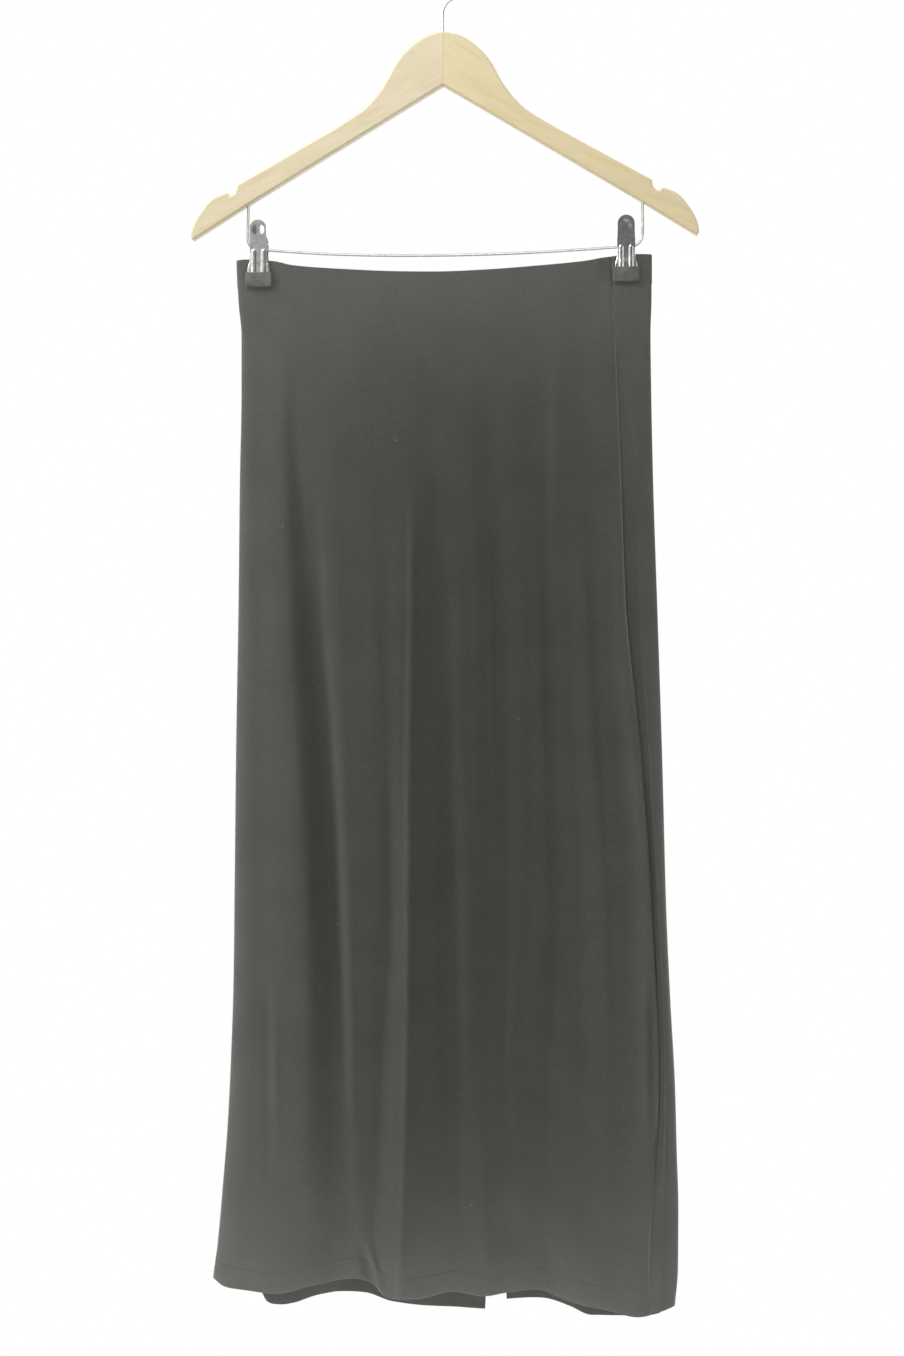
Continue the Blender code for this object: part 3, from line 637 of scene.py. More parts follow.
def cloth_rows():
    """The rows of a panel from the waist's inner ply over its fold, down, and round the hem's fold.

    Each row is how far down it lies, how far it is inset and how far it hangs past its edge.
    """
    ply = 2.0 * CLOTH + PLY_GAP
    radius = ply / 2.0
    rows = [(WAIST_TURN * (1.0 - step / TURN_STEPS), ply, 0.0) for step in range(TURN_STEPS)]
    for step in range(FOLD_STEPS + 1):
        angle = math.pi * step / FOLD_STEPS
        rows.append((0.0, radius * (1.0 + math.cos(angle)), -radius * math.sin(angle)))
    stitch = LENGTH - HEM_TURN
    for step in range(1, CLOTH_ROWS + 1):
        rows.append((stitch * step / (CLOTH_ROWS + 1), 0.0, 0.0))
    for offset, groove in STITCH_ROWS:
        rows.append((stitch + offset, STITCH_GROOVE * groove, 0.0))
    for step in range(FOLD_STEPS + 1):
        angle = math.pi * step / FOLD_STEPS
        rows.append((LENGTH, radius * (1.0 - math.cos(angle)), radius * math.sin(angle)))
    for step in range(1, TURN_STEPS + 1):
        rows.append((LENGTH - (HEM_TURN - 1.0) * step / TURN_STEPS, ply, 0.0))
    return rows


# each panel: piece, solid, way round, the cut's width and length and its area, in metres
PANELS = (
    ("cloth_front", "front_panel", FRONT_TRACK, (0.42, 0.96), 0.368),
    ("cloth_back_left", "back_left_panel", BACK_LEFT_TRACK, (0.215, 0.96), 0.188),
    ("cloth_back_right", "back_right_panel", BACK_RIGHT_TRACK, (0.19, 0.96), 0.177),
)


def finish_mesh(name, mesh):
    """Turn a bmesh into a linked object with smooth faces."""
    data = bpy.data.meshes.new(name)
    mesh.to_mesh(data)
    mesh.free()
    data.shade_smooth()
    made = bpy.data.objects.new(name, data)
    bpy.context.scene.collection.objects.link(made)
    return made


def dress(made, look, slot_name, *nodes):
    """Give a piece its material and its body, and hide the solids it stands for; slot_name is not used."""
    made.data.materials.append(look)
    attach(made, BODY)
    if nodes:
        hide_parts(*nodes)
    return made


def grid_piece(name, points):
    """A sheet from rows of points, with a map in metres measured along its rows and columns."""
    rows, columns = len(points) - 1, len(points[0]) - 1
    mesh = bmesh.new()
    bmesh.ops.create_grid(mesh, x_segments=columns, y_segments=rows, size=0.5)
    layer = mesh.loops.layers.uv.new("UVMap")
    spots = {vert: (round((0.5 - vert.co.y) * rows), round((vert.co.x + 0.5) * columns))
             for vert in mesh.verts}
    along = [running_length(row) for row in points]
    fall = running_length([row[columns // 2] for row in points])
    for face in mesh.faces:
        for loop in face.loops:
            row, column = spots[loop.vert]
            loop[layer].uv = ((along[row][column] - along[row][-1] / 2.0) * MM, -fall[row] * MM)
    for vert, (row, column) in spots.items():
        vert.co = points[row][column] * MM
    return finish_mesh(name, mesh)


def running_length(points):
    """The length along a line of points up to each of them."""
    lengths = [0.0]
    for before, after in zip(points, points[1:]):
        lengths.append(lengths[-1] + (after - before).length)
    return lengths


def add_wall(made, thickness):
    """Give a sheet its thickness, inwards from the face that shows."""
    wall = made.modifiers.new("Wall", "SOLIDIFY")
    wall.thickness = thickness * MM
    wall.offset = -1.0
    wall.use_even_offset = True


def round_edges(made, width, segments):
    """Break a piece's sharp edges."""
    edge = made.modifiers.new("Edge", "BEVEL")
    edge.width = width * MM
    edge.segments = segments
    edge.limit_method = "ANGLE"
    edge.angle_limit = math.radians(40.0)


def soften(points, steps):
    """A smooth route through given points, steps to each stretch."""
    route = []
    for index in range(len(points) - 1):
        before = Vector(points[max(index - 1, 0)])
        start = Vector(points[index])
        end = Vector(points[index + 1])
        after = Vector(points[min(index + 2, len(points) - 1)])
        for step in range(steps):
            t = step / steps
            pull = (end - before) * (t ** 3 - 2.0 * t ** 2 + t) / 2.0
            push = (after - start) * (t ** 3 - t ** 2) / 2.0
            rest = start * (2.0 * t ** 3 - 3.0 * t ** 2 + 1.0) + end * (3.0 * t ** 2 - 2.0 * t ** 3)
            route.append(tuple(rest + pull + push))
    route.append(tuple(points[-1]))
    return route


class Nodes:
    """A short way to lay out a material's or the world's nodes."""

    def __init__(self, owner):
        owner.use_nodes = True
        self.tree = owner.node_tree
        self.tree.nodes.clear()

    def add(self, kind, inputs, output=0, **settings):
        """Add a node, set or link its inputs, and give back one of its outputs."""
        node = self.tree.nodes.new(kind)
        for name, value in settings.items():
            setattr(node, name, value)
        for name, value in inputs.items():
            if isinstance(value, bpy.types.NodeSocket):
                self.tree.links.new(value, node.inputs[name])
            else:
                node.inputs[name].default_value = value
        return node.outputs[output] if node.outputs else node

    def noise(self, place, scale, detail, distortion=0.0):
        """A cloudy pattern, 0 to 1."""
        inputs = {"Vector": place, "Scale": scale, "Detail": detail, "Distortion": distortion}
        return self.add("ShaderNodeTexNoise", inputs)

    def stretch(self, place, scale, turn=0.0):
        """A pattern's place stretched, and turned about the line of sight from the front."""
        turned = self.add("ShaderNodeMapping", {"Vector": place, "Rotation": (0.0, turn, 0.0)})
        return self.add("ShaderNodeMapping", {"Vector": turned, "Scale": scale})

    def maths(self, operation, first, second=0.0):
        """A sum on two values."""
        return self.add("ShaderNodeMath", {0: first, 1: second}, operation=operation)

    def ramp(self, factor, *stops):
        """Colours along a value, from pairs of place and colour."""
        node = self.tree.nodes.new("ShaderNodeValToRGB")
        elements = node.color_ramp.elements
        while len(elements) < len(stops):
            elements.new(0.5)
        for element, (place, colour) in zip(elements, stops):
            element.position = place
            element.color = (*colour, 1.0)
        self.tree.links.new(factor, node.inputs["Fac"])
        return node.outputs["Color"]

    def bump(self, height, strength, distance, onto=None):
        """A bump from a height, in millimetres, over an earlier one."""
        inputs = {"Height": height, "Strength": strength, "Distance": distance * MM}
        if onto is not None:
            inputs["Normal"] = onto
        return self.add("ShaderNodeBump", inputs)

    def surface(self, inputs):
        """The Principled surface and its output."""
        shader = self.add("ShaderNodeBsdfPrincipled", inputs)
        self.add("ShaderNodeOutputMaterial", {"Surface": shader})


def new_material(name, space):
    """An empty material, its nodes, and where its patterns are placed."""
    made = bpy.data.materials.new(name)
    nodes = Nodes(made)
    return made, nodes, nodes.add("ShaderNodeTexCoord", {}, space)


def tint(colour, share):
    """A colour made lighter or darker."""
    return tuple(min(part * share, 1.0) for part in colour)


def jersey_material(settings):
    """Fine single jersey: V-shaped loops in wales, a mottle of the yarn and a soft bloom of fibre."""
    made, nodes, place = new_material("jersey", "UV")
    mottle = nodes.noise(nodes.stretch(place, (1.0, 0.45, 1.0)), 420.0, 4.0)
    patch = nodes.noise(place, 22.0, 3.0)
    mixed = nodes.maths("ADD", nodes.maths("MULTIPLY", mottle, 0.55), nodes.maths("MULTIPLY", patch, 0.45))
    shade = tuple(settings.colour)
    colour = nodes.ramp(mixed, (0.34, tint(shade, 0.88)), (0.66, tint(shade, 1.12)))
    across = nodes.add("ShaderNodeSeparateXYZ", {"Vector": place}, "X")
    down = nodes.add("ShaderNodeSeparateXYZ", {"Vector": place}, "Y")
    fold = nodes.maths("PINGPONG", across, settings.wale_pitch / 2.0)
    leg = nodes.maths("SINE", nodes.maths("MULTIPLY", fold, math.tau / settings.wale_pitch))
    lean = nodes.maths("ADD", down, nodes.maths("MULTIPLY", fold, LOOP_LEAN))
    loop = nodes.maths("SINE", nodes.maths("MULTIPLY", lean, math.tau / (settings.wale_pitch * LOOP_HEIGHT)))
    knit = nodes.maths("MULTIPLY", leg, nodes.maths("ADD", nodes.maths("MULTIPLY", loop, 0.3), 0.7))
    slack = nodes.noise(nodes.stretch(place, (1.0, 0.3, 1.0)), 60.0, 3.0)
    fuzz = nodes.noise(place, 900.0, 6.0)
    normal = nodes.bump(slack, 0.4, 0.5)
    normal = nodes.bump(knit, 0.3, 0.05, normal)
    normal = nodes.bump(fuzz, 0.25, 0.05, normal)
    nodes.surface({"Base Color": colour, "Roughness": 0.92, "Specular IOR Level": 0.18, "Normal": normal,
                   "Sheen Weight": settings.sheen, "Sheen Roughness": 0.45,
                   "Sheen Tint": (0.93, 0.97, 0.9, 1.0)})
    return made


def thread_material(settings):
    """The sewing thread, twisted, a little smoother and paler than the cloth."""
    made, nodes, place = new_material("thread", "Object")
    twist = nodes.noise(place, 2500.0, 2.0)
    shade = tuple(settings.colour)
    colour = nodes.ramp(twist, (0.3, shade), (0.7, tint(shade, 1.5)))
    nodes.surface({"Base Color": colour, "Roughness": 0.6, "Normal": nodes.bump(twist, 0.4, 0.05)})
    return made


def lint_material():
    """A pale cotton fibre."""
    made, nodes, place = new_material("lint", "Object")
    fibre = nodes.noise(place, 3000.0, 2.0)
    colour = nodes.ramp(fibre, (0.3, (0.30, 0.30, 0.29)), (0.7, (0.42, 0.42, 0.40)))
    nodes.surface({"Base Color": colour, "Roughness": 0.9})
    return made


def wood_material(name, shade, turn):
    """Lacquered pale wood, its grain running along the arm."""
    made, nodes, place = new_material(name, "Object")
    bands = nodes.noise(nodes.stretch(place, (9.0, 60.0, 60.0), turn), 2.2, 6.0, 0.9)
    pores = nodes.noise(nodes.stretch(place, (40.0, 900.0, 900.0), turn), 1.6, 4.0)
    dark = (shade[0] * 0.95, shade[1] * 0.93, shade[2] * 0.87)
    grain = nodes.ramp(bands, (0.30, dark), (0.48, tuple(shade)), (0.68, tint(shade, 1.03)))
    specks = nodes.ramp(pores, (0.36, (0.95, 0.935, 0.90)), (0.50, (1.0, 1.0, 1.0)))
    colour = nodes.add("ShaderNodeMix", {"Factor": 1.0, 6: grain, 7: specks}, 2, data_type="RGBA",
                       blend_type="MULTIPLY")
    normal = nodes.bump(bands, 0.12, 0.2, nodes.bump(pores, 0.2, 0.08))
    nodes.surface({"Base Color": colour, "Roughness": 0.46, "Coat Weight": 0.3, "Coat Roughness": 0.2,
                   "Normal": normal})
    return made


def metal_material(name, shade, rough, streak):
    """Plated steel with faint drawing marks and a few dull patches."""
    made, nodes, place = new_material(name, "Object")
    marks = nodes.noise(nodes.stretch(place, streak), 3.0, 5.0)
    dull = nodes.noise(place, 240.0, 4.0)
    colour = nodes.ramp(dull, (0.35, tint(shade, 0.82)), (0.65, tuple(shade)))
    spread = nodes.maths("ADD", nodes.maths("MULTIPLY", dull, 0.2), rough - 0.1)
    nodes.surface({"Base Color": colour, "Metallic": 1.0, "Roughness": spread,
                   "Normal": nodes.bump(marks, 0.12, 0.05)})
    return made


def rubber_material(shade):
    """Dark soft rubber, slightly dusty."""
    made, nodes, place = new_material("dark_rubber", "Object")
    dust = nodes.noise(place, 120.0, 3.0)
    colour = nodes.ramp(dust, (0.35, tint(shade, 0.8)), (0.68, tint(shade, 1.3)))
    nodes.surface({"Base Color": colour, "Roughness": 0.55,
                   "Normal": nodes.bump(nodes.noise(place, 700.0, 5.0), 0.3, 0.08)})
    return made


def floor_material(shade):
    """A matt pale floor."""
    made, nodes, place = new_material("pale_floor", "Object")
    colour = nodes.ramp(nodes.noise(place, 3.0, 4.0), (0.3, tint(shade, 0.98)), (0.7, tuple(shade)))
    nodes.surface({"Base Color": colour, "Roughness": 0.85})
    return made


def add_panel(name, node, track, look):
    """One cut panel, with its waist turned in and its hem turned up."""
    columns = sum(row[1] for row in track)
    points = []
    for down, inset, hang in cloth_rows():
        row = [track_point(track, 1.0 - column / columns, down / LENGTH, inset)
               for column in range(columns + 1)]
        points.append([point - Vector((0.0, 0.0, hang)) for point in row])
    made = grid_piece(name, points)
    add_wall(made, CLOTH)
    return dress(made, look, "jersey", node)


def lay_stitches(mesh, route, settings):
    """Lay short threads at an even pitch along a route on the cloth."""
    lay = 0.0
    for before, point in zip(route, route[1:]):
        lay += (point - before).length
        if lay >= settings.stitch_pitch / MM:
            lay = 0.0
            turn = (point - before).to_track_quat("X", "Z").to_matrix()
            grown = bmesh.ops.create_uvsphere(mesh, u_segments=6, v_segments=4, radius=0.5)
            for vert in grown["verts"]:
                along = vert.co.z * settings.stitch_length / MM
                size = Vector((along, vert.co.y * THREAD, vert.co.x * THREAD))
                vert.co = (point + turn @ size) * MM


def add_stitches(name, tracks, settings, look):
    """The hem's stitches on every panel, and those that hold back the slit's turned edges."""
    mesh = bmesh.new()
    hem = (LENGTH - HEM_TURN) / LENGTH
    for track in tracks:
        steps = HEM_STEPS * sum(row[1] for row in track)
        route = [track_point(track, step / steps, hem, -STITCH_PROUD) for step in range(steps + 1)]
        lay_stitches(mesh, route, settings)
    for sign in (-1.0, 1.0):
        route = []
        for step in range(SLIT_STEPS + 1):
            down = LENGTH - SLIT_LENGTH * (1.0 - step / SLIT_STEPS)
            x = back_seam(down, sign) + sign * SLIT_STITCH_INSET
            route.append(ring_point("back", x, down / LENGTH, -STITCH_PROUD))
        lay_stitches(mesh, route, settings)
    return dress(finish_mesh(name, mesh), look, "jersey")


def add_lint(name, look):
    """Tiny fibres caught on the front."""
    mesh = bmesh.new()
    for x, down, turn in LINT:
        grown = bmesh.ops.create_uvsphere(mesh, u_segments=6, v_segments=6, radius=0.5)
        lean = Matrix.Rotation(math.radians(turn), 3, "Y")
        centre = ring_point("front", x, down / LENGTH, -LINT_WIDTH)
        for vert in grown["verts"]:
            bow = 4.0 * vert.co.z ** 2 * LINT_WIDTH
            offset = Vector((vert.co.z * LINT_LENGTH, vert.co.y * LINT_WIDTH, vert.co.x * LINT_WIDTH + bow))
            vert.co = (centre + lean @ offset) * MM
    return dress(finish_mesh(name, mesh), look, "jersey")


def add_board(name, node, sign, look, slot_name):
    """One arm of the hanger: its outline extruded and its rims rounded."""
    notch = BOARD_NOTCH_ROW
    outline = [(HALF_JOINT, BOARD_TOP[0][1])] + soften(BOARD_TOP[:notch], BOARD_STEPS)[1:]
    outline += soften(BOARD_TOP[notch:], BOARD_STEPS)
    outline += [BOARD_FOOT, (HALF_JOINT, BOARD_CROTCH[1])]
    mesh = bmesh.new()
    front = [mesh.verts.new((sign * x * MM, -BOARD / 2.0 * MM, z * MM)) for x, z in outline]
    grown = bmesh.ops.extrude_face_region(mesh, geom=[mesh.faces.new(front)])
    moved = [item for item in grown["geom"] if isinstance(item, bmesh.types.BMVert)]
    bmesh.ops.translate(mesh, verts=moved, vec=(0.0, BOARD * MM, 0.0))
    rims = [edge for edge in mesh.edges if abs(edge.verts[0].co.y - edge.verts[1].co.y) < MM
            and max(abs(vert.co.x) for vert in edge.verts) > MM]
    bmesh.ops.bevel(mesh, geom=rims, offset=BOARD_ROUND * MM, segments=4, profile=0.5, affect="EDGES",
                    material=-1)
    for cut in range(1, BOARD_CUTS):
        place = (sign * cut * BOARD_CUT_STEP * MM, 0.0, 0.0)
        bmesh.ops.bisect_plane(mesh, geom=mesh.verts[:] + mesh.edges[:] + mesh.faces[:],
                               dist=BOARD_CUT_NEAR * MM, plane_co=place, plane_no=(1.0, 0.0, 0.0))
    bmesh.ops.recalc_face_normals(mesh, faces=mesh.faces)
    made = finish_mesh(name, mesh)
    made.data.set_sharp_from_angle(angle=math.radians(BOARD_SHARP_DEG))
    for face in made.data.polygons:
        face.use_smooth = abs(face.normal.y) < FLAT_NORMAL
    return dress(made, look, slot_name, node)


def add_wire(name, node, route, thickness, look):
    """A round wire along a route in the middle plane, with its ends rounded off."""
    mesh = bmesh.new()
    points = [Vector((x, 0.0, z)) for x, z in route]
    first_run = (points[1] - points[0]).normalized()
    last_run = (points[-1] - points[-2]).normalized()
    rings = [(points[0] + first_run * thickness * (share - 0.5) * 0.5, first_run, width)
             for share, width in WIRE_END]
    rings += [(points[index], points[index + 1] - points[index - 1], 1.0)
              for index in range(1, len(points) - 1)]
    rings += [(points[-1] - last_run * thickness * (share - 0.5) * 0.5, last_run, width)
              for share, width in reversed(WIRE_END)]
    loops = []
    for centre, run, width in rings:
        turn = run.to_track_quat("Z", "Y").to_matrix().to_4x4()
        place = Matrix.Translation(centre * MM) @ turn
        made = bmesh.ops.create_circle(mesh, cap_ends=False, segments=WIRE_SIDES, matrix=place,
                                       radius=thickness * width / 2.0 * MM)
        loops.append(list({edge for vert in made["verts"] for edge in vert.link_edges}))
    for before, after in zip(loops, loops[1:]):
        bmesh.ops.bridge_loops(mesh, edges=before + after)
    bmesh.ops.holes_fill(mesh, edges=loops[0] + loops[-1])
    bmesh.ops.recalc_face_normals(mesh, faces=mesh.faces)
    return dress(finish_mesh(name, mesh), look, "steel_wire", node)


def rib_height(x, drop):
    """The two long pads pressed out of a plate below its lever."""
    tallest = 0.0
    for middle in (-RIB_APART / 2.0, RIB_APART / 2.0):
        short = max(RIB_TOP + RIB_WIDTH / 2.0 - drop, 0.0)
        reach = math.hypot(x - middle, short)
        tallest = max(tallest, RIB_HEIGHT * smooth((RIB_WIDTH / 2.0 - reach) / RIB_WALL))
    return tallest


def add_clip_plate(name, node, middle, lever_top, face, look):
    """One pressed plate of a clip: round lever with its dimple, long ribs and the flared foot."""
    points = []
    for step in range(PLATE_STEPS + 1):
        drop = (step / PLATE_STEPS) ** PLATE_ROW_EASE * PLATE_ROWS[-1][0]
        half_width = read_table(PLATE_ROWS, 1, drop)
        if drop < LEVER_RADIUS:
            half_width = max(math.sqrt(drop * (2.0 * LEVER_RADIUS - drop)), LEVER_TIP)
        row = []
        for column in range(PLATE_COLUMNS + 1):
            share = 2.0 * column / PLATE_COLUMNS - 1.0
            x = share * half_width
            round_off = min(math.hypot(x, drop - DIMPLE_FALL) / DIMPLE_RADIUS, 1.0)
            curl = PLATE_CURL * smooth((abs(share) - PLATE_CURL_BEGIN) / (1.0 - PLATE_CURL_BEGIN))
            curl *= smooth((drop - RIB_TOP) / LEVER_RADIUS)
            out = read_table(PLATE_ROWS, 2, drop) + PLATE - DIMPLE_DEPTH * (1.0 - round_off ** 2) ** 1.5
            out += rib_height(x, drop) - curl
            row.append(Vector((middle - face * x, face * out, lever_top - drop)))
        points.append(row)
    made = grid_piece(name, points)
    add_wall(made, PLATE)
    round_edges(made, 0.2, 2)
    return dress(made, look, "plated_steel", node)


def add_cap(name, node, middle, top, face, look):
    """A rubber cap on a plate's foot: pocket above, soft corners below and a moulding nib in front."""
    mesh = bmesh.new()
    bmesh.ops.create_cube(mesh, size=1.0)
    near = face * CAP_NEAR
    far = face * (CAP_NEAR + CAP_DEPTH)
    for vert in mesh.verts:
        x = vert.co.x * CAP_WIDTH * (1.0 - CAP_FLARE * (vert.co.z + 0.5))
        y = far if vert.co.y * face > 0.0 else near
        vert.co = Vector((middle + x, y, top + (vert.co.z - 0.5) * CAP_HEIGHT)) * MM
    half_way = (top - CAP_HEIGHT / 2.0) * MM
    corners = [edge for edge in mesh.edges if max(vert.co.z for vert in edge.verts) < half_way
               and abs(edge.verts[0].co.x - edge.verts[1].co.x) < MM]
    bmesh.ops.bevel(mesh, geom=corners, offset=CAP_CORNER * MM, segments=6, profile=0.5, affect="EDGES",
                    material=-1)
    rims = [edge for edge in mesh.edges if edge.calc_face_angle() > math.radians(CAP_RIM_DEG)]
    upper = max(mesh.faces, key=lambda item: item.calc_center_median().z)
    bmesh.ops.inset_region(mesh, faces=[upper], thickness=CAP_WALL * MM)
    pocket = bmesh.ops.extrude_discrete_faces(mesh, faces=[upper])["faces"][0]
    bmesh.ops.translate(mesh, verts=pocket.verts, vec=(0.0, 0.0, -CAP_POCKET * MM))
    bmesh.ops.bevel(mesh, geom=rims, offset=CAP_ROUND * MM, segments=4, profile=0.5, affect="EDGES",
                    material=-1)
    bmesh.ops.recalc_face_normals(mesh, faces=mesh.faces)
    nib = bmesh.ops.create_uvsphere(mesh, u_segments=16, v_segments=8, radius=NIB_RADIUS * MM)["verts"]
    for vert in nib:
        vert.co = Vector((vert.co.x + middle * MM, vert.co.y * NIB_FLATNESS + far * MM,
                          vert.co.z + (top - CAP_HEIGHT * NIB_FALL) * MM))
    made = finish_mesh(name, mesh)
    made.data.set_sharp_from_angle(angle=math.radians(CAP_SHARP_DEG))
    return dress(made, look, "dark_rubber", node)


def add_spring(name, node, middle, look):
    """The band spring round the rail between a clip's plates, open at the bottom."""
    radius = RAIL_WIRE / 2.0 + SPRING_GAP + SPRING_WALL
    points = []
    for step in range(SPRING_WIDTH_STEPS + 1):
        x = middle + (step / SPRING_WIDTH_STEPS - 0.5) * SPRING_WIDTH
        level = read_line(RAIL_SPAN, x)
        row = []
        for turn_step in range(SPRING_TURN_STEPS + 1):
            share = turn_step / SPRING_TURN_STEPS
            turn = math.radians(SPRING_OPEN_DEG / 2.0 + (360.0 - SPRING_OPEN_DEG) * share)
            row.append(Vector((x, -radius * math.sin(turn), level - radius * math.cos(turn))))
        points.append(row)
    made = grid_piece(name, points)
    add_wall(made, SPRING_WALL)
    round_edges(made, 0.15, 2)
    return dress(made, look, "plated_steel", node)


def point_at(position, target):
    """The turn that aims a light or a camera, level, from one place at another."""
    return (Vector(target) - Vector(position)).to_track_quat("-Z", "Y").to_euler()


def add_light(name, position, target, size, power, pieces):
    """A soft rectangular light, hidden from the camera, which can be kept to some pieces."""
    data = bpy.data.lights.new(name, "AREA")
    data.shape = "RECTANGLE"
    data.size, data.size_y = size
    data.energy = power
    made = bpy.data.objects.new(name, data)
    made.location = position
    made.rotation_euler = point_at(position, target)
    made.visible_camera = False
    bpy.context.scene.collection.objects.link(made)
    if pieces:
        group = bpy.data.collections.new(name)
        for item in bpy.context.scene.objects:
            if item.name in pieces:
                group.objects.link(item)
        made.light_linking.receiver_collection = group
        made.light_linking.blocker_collection = group


def light_surround(settings):
    """A white room: white to the camera, dimmer in front, with its own tones where metal mirrors it."""
    world = bpy.data.worlds.new("white_room")
    bpy.context.scene.world = world
    nodes = Nodes(world)
    place = nodes.add("ShaderNodeTexCoord", {}, "Generated")
    depth = nodes.add("ShaderNodeSeparateXYZ", {"Vector": place}, "Y")
    share = nodes.maths("ADD", nodes.maths("MULTIPLY", depth, 0.5), 0.5)
    tone = nodes.ramp(share, (0.25, (settings.front_tone,) * 3), (0.50, (settings.surround_tone,) * 3))
    mirror = nodes.ramp(share, (0.35, (settings.front_mirror,) * 3), (0.75, (settings.back_mirror,) * 3))
    lit = nodes.add("ShaderNodeBackground", {"Color": tone, "Strength": 1.0})
    mirrored = nodes.add("ShaderNodeBackground", {"Color": mirror, "Strength": 1.0})
    seen = nodes.add("ShaderNodeBackground", {"Color": (1.0, 1.0, 1.0, 1.0), "Strength": 1.0})
    glossy_ray = nodes.add("ShaderNodeLightPath", {}, "Is Glossy Ray")
    camera_ray = nodes.add("ShaderNodeLightPath", {}, "Is Camera Ray")
    room = nodes.add("ShaderNodeMixShader", {0: glossy_ray, 1: lit, 2: mirrored})
    both = nodes.add("ShaderNodeMixShader", {0: camera_ray, 1: room, 2: seen})
    nodes.add("ShaderNodeOutputWorld", {"Surface": both})


def colour_setting(name, description, default):
    """A colour that a user can change."""
    return bpy.props.FloatVectorProperty(name=name, description=description, default=default, subtype="COLOR",
                                         size=3, min=0.0, max=1.0)


def length_setting(name, description, default, least, most, digits):
    """A length that a user can change."""
    return bpy.props.FloatProperty(name=name, description=description, default=default, min=least, max=most,
                                   unit="LENGTH", precision=digits)


def share_setting(name, description, default, most):
    """A brightness or a share, from 0 up, that a user can change."""
    return bpy.props.FloatProperty(name=name, description=description, default=default, min=0.0, max=most)


class SkirtClothSettings(bpy.types.PropertyGroup):
    """The cloth and its sewing."""

    colour: colour_setting("Cloth colour", "Colour of the jersey", (0.0435, 0.0460, 0.0400))
    sheen: share_setting("Sheen", "How strongly the fibres catch light at the edges", 0.39, 1.0)
    wale_pitch: length_setting("Wale pitch", "Width of one column of knitted loops", 0.0009, 0.0003, 0.005, 5)
    stitch_pitch: length_setting("Stitch pitch", "Distance from stitch to stitch", 0.003, 0.001, 0.01, 4)
    stitch_length: length_setting("Stitch length", "Length of one hem stitch", 0.0021, 0.0005, 0.009, 4)


class SkirtHangerSettings(bpy.types.PropertyGroup):
    """The finishes of the hanger and its clips."""

    left_wood: colour_setting("Left wood", "Colour of the left board", (0.79, 0.693, 0.478))
    right_wood: colour_setting("Right wood", "Colour of the yellower right board", (0.79, 0.675, 0.412))
    hook: colour_setting("Hook", "Colour of the bright hook", (0.92, 0.92, 0.91))
    wire: colour_setting("Rail", "Colour of the rail", (0.62, 0.62, 0.60))
    plate: colour_setting("Plate", "Colour of the clips' pressed plates", (0.62, 0.63, 0.61))
    rubber: colour_setting("Rubber", "Colour of the clips' caps", (0.150, 0.156, 0.141))


class SkirtStudioSettings(bpy.types.PropertyGroup):
    """The light round the skirt and the camera's lens."""

    surround_tone: share_setting("Surround", "Brightness behind and beside the skirt", 0.92, 10.0)
    front_tone: share_setting("Front", "Brightness of the room on the camera's side", 0.115, 10.0)
    front_mirror: share_setting("Front mirrored", "Brightness metal mirrors in front", 0.24, 10.0)
    back_mirror: share_setting("Back mirrored", "Brightness metal mirrors behind", 1.2, 10.0)
    lamp_share: share_setting("Lamps", "Share of the soft lights' power", 1.0, 20.0)
    edge_share: share_setting("Edge light", "Share of the edge strips' power", 1.0, 20.0)
    floor_colour: colour_setting("Floor", "Colour of the pale floor", (0.80, 0.80, 0.79))
    lens: bpy.props.FloatProperty(name="Lens", description="Focal length that frames the skirt", default=72.9,
                                  min=20.0, max=300.0, unit="CAMERA")


class SKIRT_OT_panels(bpy.types.Operator):
    """Sew the front panel and both back panels"""

    bl_idname = "skirt.panels"
    bl_label = "Cloth panels"

    def execute(self, context):
        look = jersey_material(context.scene.skirt_cloth)
        for name, node, track, flat, area in PANELS:
            add_panel(name, node, track, look)
        return {"FINISHED"}


class SKIRT_OT_stitches(bpy.types.Operator):
    """Stitch the hem and the slit's edges"""

    bl_idname = "skirt.stitches"
    bl_label = "Stitches"

    def execute(self, context):
        settings = context.scene.skirt_cloth
        tracks = [row[2] for row in PANELS]
        add_stitches("hem_stitches", tracks, settings, thread_material(settings))
        return {"FINISHED"}


class SKIRT_OT_lint(bpy.types.Operator):
    """Scatter the bits of lint on the front"""

    bl_idname = "skirt.lint"
    bl_label = "Lint"

    def execute(self, context):
        add_lint("lint", lint_material())
        return {"FINISHED"}


class SKIRT_OT_boards(bpy.types.Operator):
    """Cut and round the hanger's two wooden boards"""

    bl_idname = "skirt.boards"
    bl_label = "Hanger boards"

    def execute(self, context):
        settings = context.scene.skirt_hanger
        left = wood_material("pale_wood", settings.left_wood, GRAIN_TURN)
        right = wood_material("warm_wood", settings.right_wood, -GRAIN_TURN)
        add_board("board_left", "hanger_board_left", -1.0, left, "pale_wood")
        add_board("board_right", "hanger_board_right", 1.0, right, "warm_wood")
        return {"FINISHED"}


